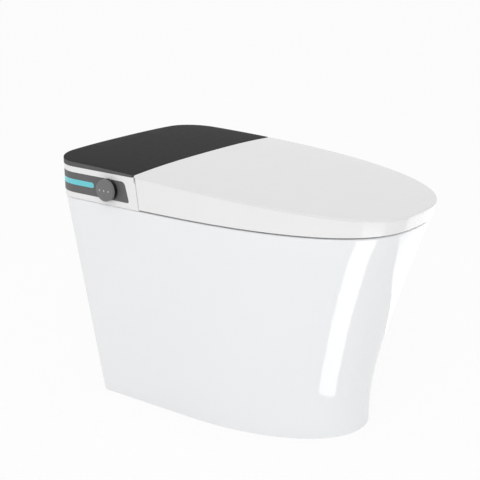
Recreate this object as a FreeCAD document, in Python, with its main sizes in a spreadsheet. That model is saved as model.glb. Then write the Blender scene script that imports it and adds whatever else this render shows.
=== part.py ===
import FreeCAD
import Part
import Sketcher
import math
import os
from FreeCAD import Placement, Rotation, Vector

# Smart toilet with a heated seat: a skirted floor pan with a wash unit behind the lid.
# Millimetres and degrees. +Z is up, the front faces -Y and the control knob is on -X.
# The origin is on the floor, under the centre of the waste outlet.

DOC = FreeCAD.newDocument("smart_toilet")
SHEET = DOC.addObject("Spreadsheet::Sheet", "Sizes")

# Places are given from a datum, which measure_from adds further down: heights from the rim or the
# hinge's axis, lengths from the line between lid and cover, the rear face or the nose, and widths
# from the side. The rest are measured from the outlet or are sizes of their own.
DRIVING_SIZES = {
    # Plan outline of the whole body
    "body_width": 400.0,
    "body_length": 661.0,
    "outlet_setback": 300.0,        # outlet centre to the rear face
    "rear_corner": 62.6,            # radius in plan
    "nose_start": 5.0,             # where the sides begin to curve to the nose
    "nose_power": 2.69,             # superellipse exponent
    # Top skin, one convex curve over the lid and the cover
    "join_setback": 208.0,          # rear face to the line between lid and cover
    "crest_height": 6.9,          # top edge at that line
    "crest_slope": 0.045,
    "lid_fall": 6.3e-5,             # how fast the slope steepens towards the nose
    "cover_fall": 1.06e-4,          # how fast it levels out towards the rear
    "crown": 5.6,                   # middle above the edges
    "join_gap": 1.2,
    "join_lean": 7.6,               # lean of the side joint between shell and lid
    "join_foot": -7.7,              # y of that joint at join_foot_height
    "join_foot_height": 8.4,
    # Ceramic pan
    "rim_height": 395.2,
    "rim_side_inset": 1.6,
    "rim_nose_inset": 10.0,
    "rim_round": 3.0,
    "foot_width": 296.4,
    "foot_rear": -59.1,
    "foot_nose": -102.9,
    "foot_nose_start": -70.2,
    "foot_corner": 8.0,
    "foot_power": 2.11,
    "flare_height": 60.0,           # the nose flares out above this height
    "flare_power": 1.33,
    "pan_wall": 11.0,
    "pan_inner_corner": 3.0,        # least radius of the hollow's corners
    "deck_thickness": 14.0,
    "bowl_half_width": 118.0,
    "bowl_rear": -72.0,
    "bowl_front": -49.0,
    "bowl_floor": 105.0,
    "bowl_wall": 10.0,
    "bowl_side_power": 2.2,         # how late each side of the bowl turns in with depth
    "bowl_rear_power": 1.7,
    "bowl_front_power": 2.0,
    "notch_half_width": 88.0,
    "notch_front": -112.0,
    "notch_floor": -33.2,
    "notch_rear": 13.0,
    "deck_hole_half_width": -50.0,
    "deck_hole_rear": -32.0,
    "trap_bore": 26.0,
    "trap_wall": 9.0,
    "trap_bend": 40.0,
    "trap_mouth_rise": 18.2,        # start of the trap's centre line above the bowl's floor
    "trap_foot_height": 59.5,
    "weir_height": 222.0,
    "sump_half_width": 27.0,
    "sump_rear": 78.0,
    "sump_front": 140.0,
    "weir_y": 18.0,
    "trap_drop_y": 78.0,
    "trap_turn_height": 118.0,
    "outlet_horn": 42.0,
    "outlet_horn_length": 12.0,     # the part that enters the floor pipe's flange
    "outlet_neck_step": 1.0,        # the neck above it is this much slimmer
    "outlet_neck_height": 32.0,
    "seal_width": 14.0,
    "seal_bottom": 12.5,            # the horn stands clear below its seal
    "seal_height": 18.0,
    # Unit casing
    "unit_gap": 1.4,                # shell above the rim
    "shell_inset": 0.4,
    "shell_wall": 5.0,
    "shell_top": -4.4,
    "front_wall_rear": 11.0,
    "front_wall": 3.0,
    "nozzle_slot_rise": 12.0,
    "cover_wall": 3.0,
    "cover_gap": 0.15,
    "cover_round": 1.5,
    "base_thickness": 3.0,
    "base_gap": 0.3,
    "tongue_front": -35.0,
    "tongue_half_width": 110.0,
    "apron_thickness": 2.5,
    "apron_bottom": -29.2,
    "apron_side_gap": 2.0,
    "duct_hole_gap": 2.0,
    "pump_hole": 7.0,
    "gasket_width": 14.0,
    "bolt_radius": 4.0,
    "bolt_length": 34.0,
    "bolt_x": -34.0,
    "bolt_front_y": 30.0,
    "bolt_pitch": 90.0,
    "bolt_clearance": 0.8,
    "bolt_head_radius": 7.6,
    "bolt_head_height": 5.0,
    "bolt_nut_radius": 7.2,
    "bolt_nut_height": 7.0,
    # Side panel, light strip and knob
    "panel_front_top": 24.0,
    "panel_front_bottom": 14.0,
    "panel_end": -16.0,
    "panel_bottom": 11.8,
    "panel_top": 48.8,
    "panel_depth": 2.4,
    "panel_proud": 0.1,
    "panel_fit": 0.1,
    "panel_low_corner": 3.5,        # corner radii of the panel's front end and its rear end
    "panel_high_corner": 9.0,
    "panel_rear_corner": 7.0,
    "strip_front": 98.0,
    "strip_end": -23.0,
    "strip_bottom": 26.4,
    "strip_top": 36.2,
    "strip_depth": 1.6,
    "strip_ledge": 1.0,
    "strip_rear_ease": 0.6,         # rear corners of the strip, as a share of the front ones
    "board_gap": 0.5,
    "board_height": 12.0,
    "led_count": 4,
    "led_first": 6.0,
    "led_pitch": 10.0,
    "led_size": 3.0,
    "led_thickness": 1.0,
    "board_thickness": 1.2,
    "knob_y": 59.0,
    "knob_height": 30.8,
    "knob_radius": 19.75,
    "knob_depth": 13.0,
    "knob_edge": 2.2,
    "knob_bevel": 0.66,
    "knob_wall": 1.8,
    "knob_face": 3.6,
    "knob_hole_gap": 1.0,
    "knob_boss": 5.5,
    "knob_stroke": 1.6,
    "knob_clearance": 0.7,
    "knob_spindle": 3.0,
    "spindle_flat": 1.05,
    "knob_rotor_radius": 6.0,
    "knob_rotor_length": 12.0,
    "rotor_reach": 2.0,             # rotor ahead of the casing's inner face
    "rotor_spare": 4.0,
    "encoder_size": 22.0,
    "encoder_gap": 0.3,
    "encoder_back": 0.5,
    "terminal_length": 4.0,
    "terminal_width": 1.0,
    "terminal_pitch": 5.0,
    "running_fit": 0.06,
    # Hinge
    "hinge_y": -11.8,
    "hinge_height": 56.8,
    "hinge_pin": 3.5,
    "hinge_eye": 6.2,
    "tower_inner": 53.0,
    "tower_width": 8.0,
    "lid_eye_inner": 63.0,
    "lid_eye_width": 10.0,
    "seat_eye_inner": 75.0,
    "seat_eye_width": 12.0,
    "tower_outer": 89.0,
    "tower_depth": 9.0,
    "tower_back": 3.6,
    "bracket_front": 12.0,
    "bracket_back": 14.0,
    "damper_radius": 7.4,
    "damper_inner": 6.0,
    "damper_grip": 12.0,
    "damper_gap": 0.2,
    "shaft_end_gap": 1.0,
    "shaft_flat": 2.45,             # flat of a hinge shaft from its centre
    "hinge_relief": 18.4,
    "side_relief": 14.2,
    "bracket_plate": 2.0,
    "saddle_bottom": -16.0,
    # Lid
    "lid_edge": 3.7,
    "lid_round": 1.4,
    "lid_overhang": 1.2,
    "skirt_bottom": 3.2,
    "skirt_side_inset": 0.7,
    "skirt_nose_inset": 6.2,
    "skirt_wall": 3.5,
    "lid_flange": 2.5,
    "flange_rear": -22.0,
    "flange_front": -72.0,
    "lug_root": 4.0,                # start of a hinge lug ahead of the axis
    "lug_half": 4.5,
    "lid_lug_top_root": 3.0,
    "lid_lug_rise": 5.0,
    "lid_lug_reach": 14.0,
    "lid_lug_toe": 20.0,
    "lid_lug_toe_rise": 1.0,
    "lid_lug_cover": 5.0,
    "liner_thickness": 2.0,
    "liner_drop": 6.7,
    "liner_gap": 0.3,
    "liner_rear": -73.0,
    "bumper_radius": 6.0,
    "bumper_gap": 0.3,
    "bumper_wide": 150.0,
    "bumper_narrow": 72.0,
    "bumper_rear": -202.0,
    "bumper_front": 45.0,
    # Seat
    "seat_gap": 3.0,                # seat to the lid skirt
    "seat_bottom": 6.8,
    "seat_nose_top": 18.8,
    "seat_slope": 0.062,
    "seat_rear": -22.0,
    "seat_rear_corner": 26.0,
    "seat_round": 5.0,
    "seat_wall": 2.6,
    "seat_base_thickness": 2.6,
    "seat_hole_half_width": 106.0,
    "seat_hole_rear": 126.0,
    "seat_hole_front": -61.0,
    "seat_dish_width": 38.0,
    "seat_dish_depth": 7.5,
    "seat_dish_over": 2.0,          # the dish's cutter starts this far above the seat
    "seat_dish_under": 6.0,         # and ends this far inside the hole's edge
    "seat_lug_drop": 5.0,
    "seat_lug_reach": 14.0,
    "seat_lug_cover": 1.0,
    "seat_lug_depth": 12.0,
    "seat_base_fit": 0.1,
    "heater_mat": 0.8,
    "heater_inset": 6.0,
    "heater_lug_gap": 1.0,
    "thermostat_setback": 60.0,
    "thermostat_radius": 6.0,
    "thermostat_height": 3.0,
    "thermostat_stem": 3.0,
    "thermostat_drop": 1.5,
    "thermostat_gap": 0.2,
    # Wash nozzles, along a line that dips to the front
    "nozzle_tilt": 15.0,
    "nozzle_tip_y": -40.0,
    "nozzle_tip_height": -15.2,
    "nozzle_radius": 8.0,
    "nozzle_pitch": 23.0,
    "nozzle_length": 170.0,
    "nozzle_fit": 0.3,
    "spray_hole": 0.6,
    "spray_depth": 5.0,
    "spray_setback": 14.4,          # middle of the spray holes behind the tip
    "spray_flat": 1.2,
    "spray_flat_end": 25.6,
    "rear_spray_ring": 2.2,
    "front_spray_ring": 2.8,
    "rear_spray_holes": 6,
    "front_spray_holes": 8,
    "waterway": 2.2,
    "waterway_start": 11.2,
    "wash_port": 2.0,
    "cradle_start": 8.0,
    "cradle_wall": 4.0,
    "cradle_rear": 8.0,
    "cradle_cover": 2.2,
    "cradle_clearance": 2.0,
    "rack_start": 60.0,
    "rack_width": 5.0,
    "rack_module": 1.0,
    "rack_line": 9.6,               # pitch line above the nozzle's axis
    "pinion_teeth": 12,
    "pinion_width": 4.0,
    "rack_addendum": 0.7,
    "rack_dedendum": 1.2,
    "rack_foot": 5.6,
    "rack_end_land": 1.0,
    "rack_top_gap": 0.5,
    "pressure_angle": 20.0,
    "pinion_addendum": 0.9,
    "pinion_dedendum": 1.2,
    "pinion_clearance": 1.5,
    "pinion_bore": 1.5,
    "motor_radius": 7.0,
    "motor_length": 15.0,
    "motor_gap": 1.5,               # pinion to motor
    "motor_fit": 0.3,
    "gear_backlash": 0.25,
    # Dryer and deodoriser
    "duct_inner": 36.0,
    "duct_outer": 76.0,
    "duct_wall": 2.0,
    "duct_height": 26.0,
    "duct_above_base": 2.0,
    "duct_rise_length": 40.0,
    "duct_mouth_gap": 0.4,
    "duct_step_back": 1.0,          # middle section of the duct's rise
    "duct_step_rise": 4.0,
    "duct_step_growth": 1.0,
    "duct_mouth_bottom": -25.2,
    "duct_mouth_height": 18.0,
    "flap_thickness": 1.6,
    "flap_gap": 1.0,
    "flap_pin": 1.2,
    "flap_pin_rise": 0.4,
    "flap_pin_end": 3.0,
    "hanger_gap": 0.3,
    "hanger_width": 2.5,
    "hanger_wall": 1.0,
    "hanger_foot": 1.5,
    "blower_x": 120.0,
    "blower_y": -82.0,
    "blower_radius": 36.0,
    "blower_height": 32.0,
    "blower_wall": 2.0,
    "blower_lift": 1.0,
    "blower_outlet": 16.2,          # rear of the outlet ahead of the blower's axis
    "blower_inlet": 18.0,
    "port_setback": 4.0,
    "port_width": 22.0,
    "port_rise": 3.0,
    "port_height": 20.0,
    "port_gap": 0.3,
    "impeller_radius": 28.0,
    "impeller_height": 22.0,
    "impeller_hub": 9.0,
    "impeller_blade": 1.2,
    "impeller_blades": 24,
    "impeller_plate": 1.5,
    "impeller_hub_height": 15.4,
    "impeller_chord": 7.0,
    "impeller_lean": 2.0,
    "impeller_inset": 0.4,
    "impeller_gap": 2.5,
    "blower_motor_radius": 13.0,
    "blower_motor_height": 12.0,
    "blower_motor_gap": 0.2,
    "blower_drain": 4.0,            # hole in the case's floor under the hub
    "neck_width": 21.0,
    "neck_rise": 4.0,
    "neck_drop": 7.0,
    "blower_strap_width": 8.0,
    "blower_strap": 2.0,
    "rib_count": 6,
    "rib_thickness": 1.0,
    "rib_length": 26.0,
    "rib_setback": 6.0,
    "rib_end_gap": 0.6,
    "rib_side_gap": 0.4,
    "rib_bar": 1.5,
    "rib_frame": 3.0,
    "rib_side": 2.0,
    "motor_spindle": 1.5,
    "fan_radius": 18.0,
    "fan_blades": 7,
    "fan_hub": 6.5,
    "fan_depth": 8.0,
    "fan_lift": 8.0,
    "fan_margin": 4.0,
    "fan_throat": 2.0,              # rim round the throat's hole
    "fan_tip_gap": 3.5,
    "fan_root_chord": 4.4,
    "fan_tip_chord": 8.0,
    "fan_blade_height": 2.4,
    "fan_motor_gap": 0.5,
    "fan_motor_rise": 3.0,
    "spider_width": 4.0,
    "spider_thickness": 2.0,
    "cartridge_length": 9.0,
    "cartridge_gap": 0.5,
    "channel_radius": 2.4,
    "channel_margin": 5.0,
    "channel_pitch": 8.3,
    "channel_row_pitch": 9.0,
    "channel_columns": 4,
    "channel_rows": 2,
    "deodoriser_x": 56.0,
    "deodoriser_y": 84.0,
    # Services
    "inlet_x": -78.0,
    "inlet_height": 28.8,
    "inlet_thread": 10.48,          # major radius of a G1/2 thread
    "inlet_bore": 6.6,
    "inlet_length": 18.0,
    "inlet_shoulder": 0.4,          # radius of the part in the wall above the thread's
    "inlet_relief": 1.0,            # width and depth of the groove behind the thread
    "inlet_collar": 3.5,
    "inlet_collar_depth": 6.0,
    "filter_fit": 0.1,
    "filter_wall": 1.0,
    "filter_length": 14.0,
    "valve_gap": 6.2,               # valve block ahead of the casing's rear wall
    "valve_length": 24.0,
    "valve_half_width": 14.0,
    "valve_above": 8.0,
    "valve_below": 3.0,
    "coil_radius": 9.0,
    "coil_length": 20.0,
    "coil_setback": 12.0,
    "coil_drop": 2.0,
    "port_length": 10.0,
    "port_drop": 6.0,
    "jet_x": 62.0,                  # where the flush jet enters the bowl
    "jet_height": -127.2,
    "hose_radius": 5.0,
    "hose_wall": 1.5,
    "hose_bend": 16.0,
    "hose_gap": 0.3,
    "hose_rise": 6.0,
    "jet_setback": 20.0,
    "heater_rear": 284.0,
    "heater_front": 202.0,
    "heater_outer": -46.0,
    "heater_inner": -116.0,
    "heater_height": 40.0,
    "heater_corner": 8.0,
    "heater_port": 14.0,
    "groove_count": 4,
    "groove_first": 14.0,
    "groove_width": 4.0,
    "groove_pitch": 14.0,
    "groove_depth": 2.0,
    "pump_radius": 30.0,
    "pump_length": 78.0,
    "pump_x": 84.0,
    "pump_y": 104.0,
    "pump_drop": 4.0,
    "pump_flange": 6.0,
    "pump_flange_gap": 0.1,
    "pump_foot_radius": 18.0,
    "pump_foot": 8.0,
    "flush_run": 90.0,
    "air_pump_radius": 12.0,
    "air_pump_outer": -48.0,
    "air_pump_neck": -88.0,
    "air_pump_inner": -106.0,
    "air_pump_front": 5.0,
    "gland_x": -78.0,
    "gland_radius": 9.0,
    "gland_bore": 4.5,
    "gland_inside": 6.0,
    "gland_proud": 3.0,
    "gland_nut": 3.0,
    "gland_nut_thickness": 4.0,
    "board_width": 150.0,
    "board_length": 48.0,
    "board_lift": 40.0,
    "board_plate": 1.6,
    "board_ahead": 26.0,
    "board_margin": 4.0,
    "post_radius": 2.5,
    "chip_count": 4,
    "chip_first": 14.0,
    "chip_pitch": 16.0,
    "chip_size": 10.0,
    "chip_setback": 8.0,
    "chip_height": 1.8,
    "socket_count": 5,
    "socket_first": 6.0,
    "socket_pitch": 13.0,
    "socket_width": 9.0,
    "socket_depth": 6.0,
    "socket_setback": 32.0,
    "socket_height": 4.9,
    "supply_inner": -108.0,
    "supply_outer": -44.0,
    "supply_front": 4.0,
    "supply_length": 56.0,
    "supply_height": 36.0,
    "slot_count": 6,
    "slot_first": 6.0,
    "slot_pitch": 9.0,
    "slot_width": 4.0,
    "slot_margin": 10.0,
    "slot_depth": 2.0,
    "diverter_y": 154.0,
    "diverter_width": 48.0,
    "diverter_length": 22.0,
    "diverter_lift": 3.0,
    "diverter_height": 28.0,
    "diverter_drum": 14.0,
    "diverter_drum_height": 4.0,
    "lamp_radius": 3.0,
    "lamp_x": -30.2,
    "lamp_height": -15.2,
    "lamp_proud": 0.8,
    "lamp_length": 6.0,
    "lamp_collar": 1.2,
    "lamp_collar_end": 5.0,
}


class Size:
    """A number together with the sheet formula that gives it."""

    def __init__(self, value, text=None):
        self.value = float(value)
        self.text = text or repr(float(value))

    def __float__(self):
        return self.value

    def combine(self, sign, other, value):
        return Size(value, "(%s %s %s)" % (self.text, sign, other.text))

    def __add__(self, other):
        other = as_size(other)
        return self.combine("+", other, self.value + other.value)

    def __sub__(self, other):
        other = as_size(other)
        return self.combine("-", other, self.value - other.value)

    def __mul__(self, other):
        other = as_size(other)
        return self.combine("*", other, self.value * other.value)

    def __truediv__(self, other):
        other = as_size(other)
        return self.combine("/", other, self.value / other.value)

    def __radd__(self, other):
        return as_size(other) + self

    def __rsub__(self, other):
        return as_size(other) - self

    def __rmul__(self, other):
        return as_size(other) * self

    def __neg__(self):
        return Size(-self.value, "(-1 * %s)" % self.text)


def as_size(number):
    return number if isinstance(number, Size) else Size(number)


class Sizes:
    """The driving sizes by name."""


def fill_sheet():
    for row, (name, number) in enumerate(DRIVING_SIZES.items(), start=1):
        SHEET.set("A%d" % row, name)
        SHEET.set("B%d" % row, str(number))
        SHEET.setAlias("B%d" % row, name)
        setattr(Sizes, name, Size(number, "Sizes." + name))
    DOC.recompute()


fill_sheet()
S = Sizes


def measure_from(datum, *names):
    """Turn sizes given from a datum into places in the object's own frame."""
    for name in names:
        setattr(Sizes, name, datum + getattr(Sizes, name))


# Places that several pieces share
HALF_WIDTH = S.body_width / 2
REAR = S.outlet_setback
NOSE = S.outlet_setback - S.body_length
JOIN = S.outlet_setback - S.join_setback
RIM = S.rim_height

measure_from(JOIN, "nose_start", "join_foot", "foot_nose_start", "bowl_rear", "notch_rear",
             "notch_front", "front_wall_rear", "tongue_front", "bolt_front_y", "panel_front_top",
             "panel_front_bottom", "strip_front", "knob_y", "hinge_y", "flange_rear",
             "flange_front", "liner_rear", "bumper_rear", "seat_rear", "nozzle_tip_y",
             "deodoriser_y", "pump_y", "diverter_y")
measure_from(-JOIN, "seat_hole_rear")
measure_from(REAR, "foot_rear", "panel_end", "strip_end", "deck_hole_rear", "blower_y")
measure_from(NOSE, "bumper_front")
measure_from(-NOSE, "foot_nose", "bowl_front", "seat_hole_front")
measure_from(HALF_WIDTH, "bolt_x", "deck_hole_half_width", "inlet_x", "gland_x",
             "heater_outer", "heater_inner", "air_pump_outer", "air_pump_neck", "air_pump_inner",
             "supply_outer", "supply_inner")
measure_from(RIM, "join_foot_height", "notch_floor", "apron_bottom", "panel_bottom", "panel_top",
             "strip_bottom", "strip_top", "knob_height", "hinge_height", "skirt_bottom",
             "seat_bottom", "seat_nose_top", "nozzle_tip_height", "duct_mouth_bottom",
             "inlet_height", "jet_height", "lamp_height")
measure_from(S.hinge_height, "crest_height", "saddle_bottom")
measure_from(S.crest_height, "shell_top")

SHELL_BOTTOM = RIM + S.unit_gap
BASE_TOP = SHELL_BOTTOM + S.base_thickness
FRONT_WALL_FACE = S.front_wall_rear - S.front_wall
APRON_FACE = S.tongue_front
SHELL_INNER = S.shell_inset + S.shell_wall
BIG = 900.0                          # a cutter longer than the object
TALL = 100.0                         # a block higher than the unit or the lid
PAST = 5.0                           # how far a cutter runs past a face
NEAR = 1.0                           # how far from its face an edge may be to count as its own

NODES = []


# ---------------------------------------------------------------- document objects

def bind(item, prop, size):
    item.setExpression(prop, as_size(size).text)


def keep(item, label):
    """Hand a finished sub-part in under the name of its node."""
    item.Label = label
    NODES.append(item)
    return item


def block(name, across, along, up):
    """A box between two places on each axis."""
    item = DOC.addObject("Part::Box", name)
    for prop, pair in (("Length", across), ("Width", along), ("Height", up)):
        bind(item, prop, as_size(pair[1]) - pair[0])
    for axis, pair in zip("xyz", (across, along, up)):
        bind(item, "Placement.Base." + axis, pair[0])
    return item


def rod(name, axis, radius, start, end, centre):
    """A cylinder along an axis; centre gives its place on the other two, in x, y, z order."""
    item = DOC.addObject("Part::Cylinder", name)
    bind(item, "Radius", radius)
    bind(item, "Height", as_size(end) - start)
    place = list(centre)
    place.insert("xyz".index(axis), start)
    turn = {"x": Rotation(Vector(0, 1, 0), 90), "y": Rotation(Vector(1, 0, 0), -90),
            "z": Rotation()}[axis]
    item.Placement = Placement(Vector(*[float(part) for part in place]), turn)
    for letter, part in zip("xyz", place):
        bind(item, "Placement.Base." + letter, part)
    return item


def fuse(name, items):
    item = DOC.addObject("Part::MultiFuse", name)
    item.Shapes = items
    item.Refine = True
    return item


def cut(name, base, tools):
    item = DOC.addObject("Part::Cut", name)
    item.Base = base
    item.Tool = tools[0] if len(tools) == 1 else fuse(name + "_tools", tools)
    return item


def feature(name, shape):
    """A shape made from the sheet's sizes, kept as one object."""
    item = DOC.addObject("Part::Feature", name)
    item.Shape = shape
    return item


def origin_part(body, role):
    """A body's own plane or axis by its role."""
    return [part for part in body.Origin.OriginFeatures if part.Role == role][0]


def new_body(name):
    return DOC.addObject("PartDesign::Body", name)


def sketch_on(body, name, role):
    sketch = body.newObject("Sketcher::SketchObject", name)
    sketch.AttachmentSupport = [(origin_part(body, role), "")]
    sketch.MapMode = "FlatFace"
    return sketch


def pin_point(sketch, edge, point, corner):
    """Tie a sketch point to two sizes measured from the sketch's origin."""
    for kind, axis, size in (("DistanceX", -2, corner[0]), ("DistanceY", -1, corner[1])):
        size = as_size(size)
        if size.value == 0:
            sketch.addConstraint(Sketcher.Constraint("PointOnObject", edge, point, axis))
            continue
        place = sketch.addConstraint(
            Sketcher.Constraint(kind, -1, 1, edge, point, size.value))
        sketch.setExpression("Constraints[%d]" % place, size.text)


def polygon_sketch(body, name, role, corners):
    sketch = sketch_on(body, name, role)
    count = len(corners)
    for index in range(count):
        ends = [Vector(float(corners[step % count][0]), float(corners[step % count][1]), 0)
                for step in (index, index + 1)]
        sketch.addGeometry(Part.LineSegment(*ends), False)
    for index in range(count):
        sketch.addConstraint(
            Sketcher.Constraint("Coincident", index, 2, (index + 1) % count, 1))
        pin_point(sketch, index, 1, corners[index])
    return sketch


def circle_sketch(body, name, role, radius, centre=(0, 0)):
    sketch = sketch_on(body, name, role)
    spot = Vector(float(centre[0]), float(centre[1]), 0)
    sketch.addGeometry(Part.Circle(spot, Vector(0, 0, 1), float(radius)), False)
    pin_point(sketch, 0, 3, centre)
    place = sketch.addConstraint(Sketcher.Constraint("Radius", 0, float(radius)))
    sketch.setExpression("Constraints[%d]" % place, as_size(radius).text)
    return sketch


def pad(body, name, sketch, length, both_ways=False):
    item = body.newObject("PartDesign::Pad", name)
    item.Profile = sketch
    item.Midplane = both_ways
    bind(item, "Length", length)
    return item


def turned_body(name, corners, role="XZ_Plane"):
    """A body turned about its own Z axis from a half section in X and Z."""
    body = new_body(name)
    sketch = polygon_sketch(body, name + "_section", role, corners)
    item = body.newObject("PartDesign::Revolution", name + "_turned")
    item.Profile = sketch
    item.ReferenceAxis = (sketch, ["V_Axis"])
    item.Angle = 360
    return body


def pattern(body, name, source, count, length=360):
    item = body.newObject("PartDesign::PolarPattern", name)
    item.Originals = [source]
    item.Axis = (origin_part(body, "Z_Axis"), [""])
    item.Angle = length
    item.Occurrences = int(float(count))
    body.Tip = item
    return item


def place_body(item, centre, turn):
    """Put a body at a place given by sizes, turned by a fixed rotation."""
    item.Placement = Placement(Vector(*[float(part) for part in centre]), turn)
    for letter, part in zip("xyz", centre):
        bind(item, "Placement.Base." + letter, part)


# ---------------------------------------------------------------- curves and skins

def superellipse_points(half, start, nose, power, height, steps=18):
    """Points of the nose curve, evenly spread by direction, from -X to +X."""
    points = []
    for step in range(steps + 1):
        angle = math.pi * step / steps
        across = abs(math.cos(angle)) ** power
        ahead = abs(math.sin(angle)) ** power
        reach = (across + ahead) ** (-1 / power)
        points.append(Vector(-half * reach * math.cos(angle),
                             start + (nose - start) * reach * math.sin(angle), height))
    return points


def outline(half, rear, corner, start, nose, power, height):
    """A plan outline: straight rear, round rear corners, straight sides, curved nose."""
    slant = corner * (1 - math.sqrt(0.5))
    left = [Vector(-half, start, height), Vector(-half, rear - corner, height),
            Vector(-half + slant, rear - slant, height), Vector(-half + corner, rear, height)]
    right = [Vector(-point.x, point.y, height) for point in reversed(left)]
    points = superellipse_points(half, start, nose, power, height)
    curve = Part.BSplineCurve()
    even = [step / (len(points) - 1) for step in range(len(points))]
    curve.interpolate(Points=points, Parameters=even,
                      InitialTangent=Vector(0, -1, 0), FinalTangent=Vector(0, 1, 0))
    return Part.Wire([
        Part.makeLine(left[3], right[0]),
        Part.Arc(right[0], right[1], right[2]).toShape(),
        Part.makeLine(right[2], right[3]),
        curve.toShape(),
        Part.makeLine(left[0], left[1]),
        Part.Arc(left[1], left[2], left[3]).toShape(),
    ])


def body_outline(side_inset, nose_inset, height):
    """The body's plan outline, drawn in at the sides and rear, and at the nose."""
    side = float(side_inset)
    return outline(HALF_WIDTH.value - side, REAR.value - side, S.rear_corner.value - side,
                   S.nose_start.value, NOSE.value + float(nose_inset),
                   S.nose_power.value, float(height))


def extruded(wire, rise):
    return Part.Face(wire).extrude(Vector(0, 0, float(rise)))


def slab(across, along, up):
    """A plain box from shapes' own functions, between two places on each axis."""
    low = [float(pair[0]) for pair in (across, along, up)]
    size = [float(pair[1]) - float(pair[0]) for pair in (across, along, up)]
    return Part.makeBox(size[0], size[1], size[2], Vector(*low))


def cylinder(radius, start, end):
    """A cylinder between two points."""
    run = end - start
    return Part.makeCylinder(float(radius), run.Length, start, run)


def rounded_wire(points, radii, closed=True):
    """Straight runs joined by tangent arcs, one radius for each corner."""
    count = len(points)
    corners = []
    for index, corner in enumerate(points):
        radius = float(radii[index])
        if radius == 0:
            corners.append((corner, corner, corner))
            continue
        back = (points[index - 1] - corner).normalize()
        ahead = (points[(index + 1) % count] - corner).normalize()
        half = back.getAngle(ahead) / 2
        reach = radius / math.tan(half)
        bisector = (back + ahead).normalize()
        middle = corner + bisector * (radius / math.sin(half) - radius)
        corners.append((corner + back * reach, middle, corner + ahead * reach))
    edges = []
    for index, (start, middle, end) in enumerate(corners):
        if start != end:
            edges.append(Part.Arc(start, middle, end).toShape())
        if closed or index + 1 < count:
            edges.append(Part.makeLine(end, corners[(index + 1) % count][0]))
    return Part.Wire(edges)


def side_prism(corners, across, radii=None):
    """A shape drawn in side view, as (y, z) corners, and carried along X."""
    points = [Vector(float(across[0]), float(y), float(z)) for y, z in corners]
    wire = rounded_wire(points, radii or [0] * len(points))
    return Part.Face(wire).extrude(Vector(float(across[1]) - float(across[0]), 0, 0))


def tube(points, radius, bend):
    """A round bar along straight runs and tangent arcs."""
    path = rounded_wire(points, [0] + [bend] * (len(points) - 2) + [0], closed=False)
    ring = Part.makeCircle(float(radius), points[0], points[1] - points[0])
    return path.makePipeShell([Part.Wire(ring)], True, False)


def ellipse_section(half, front, rear, height):
    """Level ellipse between a front and a rear end; either of its axes may be the longer one."""
    centre = Vector(0, (front + rear) / 2, height)
    end = Vector(0, rear, height)
    side = Vector(half, centre.y, height)
    if rear - centre.y >= half:
        return Part.Wire(Part.Ellipse(end, side, centre).toShape())
    return Part.Wire(Part.Ellipse(centre * 2 - side, end, centre).toShape())


def edge_height(y):
    """Height of the top skin's edge at the sides."""
    ahead = JOIN.value - y
    fall = S.lid_fall.value if ahead > 0 else S.cover_fall.value
    return S.crest_height.value - S.crest_slope.value * ahead - fall * ahead ** 2


def skin_height(x, y):
    """Height of the crowned top skin, which meets the edge height all round the nose."""
    ahead = max(0.0, (S.nose_start.value - y) / (S.nose_start.value - NOSE.value))
    power = S.nose_power.value
    reach = abs(x / HALF_WIDTH.value) ** power + ahead ** power
    return edge_height(y) + S.crown.value * (1 - reach)


def skin_face():
    """The top skin as one surface that runs past the outline on every side."""
    margin = 30.0
    half = HALF_WIDTH.value + margin
    columns = 20
    rows = 36
    first = NOSE.value - margin
    last = REAR.value + margin
    grid = []
    for row in range(rows + 1):
        y = first + (last - first) * row / rows
        across = [-half + 2 * half * column / columns for column in range(columns + 1)]
        grid.append([Vector(x, y, skin_height(x, y)) for x in across])
    surface = Part.BSplineSurface()
    surface.interpolate(grid)
    return surface.toShape()


SKIN = skin_face()
SKIN_TOLERANCE = 0.3


def lowered_skin(drop):
    return SKIN.translated(Vector(0, 0, -float(drop)))


def above_skin(drop=0):
    return lowered_skin(drop).extrude(Vector(0, 0, BIG))


def below_skin(drop=0):
    return lowered_skin(drop).extrude(Vector(0, 0, -BIG))


def join_at(height):
    """Where the leaning side joint between shell and lid lies at a height."""
    rise = float(height) - S.join_foot_height.value
    return S.join_foot.value + rise * math.tan(math.radians(S.join_lean.value))


def behind_join(gap):
    """Everything behind the leaning side joint."""
    low = RIM.value - TALL
    high = RIM.value + TALL
    corners = [(join_at(low) + float(gap), low), (join_at(high) + float(gap), high),
               (BIG, high), (BIG, low)]
    return side_prism(corners, (-BIG, BIG))


def hinge_rod(radius, start, end):
    """A cylinder about the hinge axis between two places across."""
    return cylinder(radius, Vector(float(start), S.hinge_y.value, S.hinge_height.value),
                    Vector(float(end), S.hinge_y.value, S.hinge_height.value))


def mirrored(shape):
    return shape.mirror(Vector(0, 0, 0), Vector(1, 0, 0))


def on_both_sides(shape):
    return [shape, mirrored(shape)]


# ---------------------------------------------------------------- ceramic pan

BOWL_START = 8.0                     # how far above the rim the bowl's cutter starts
JET_REACH = 50.0                     # how far the jet's cutter runs each way
HOLLOW_START = -6.0                  # height where the skirt's hollow starts


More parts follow.
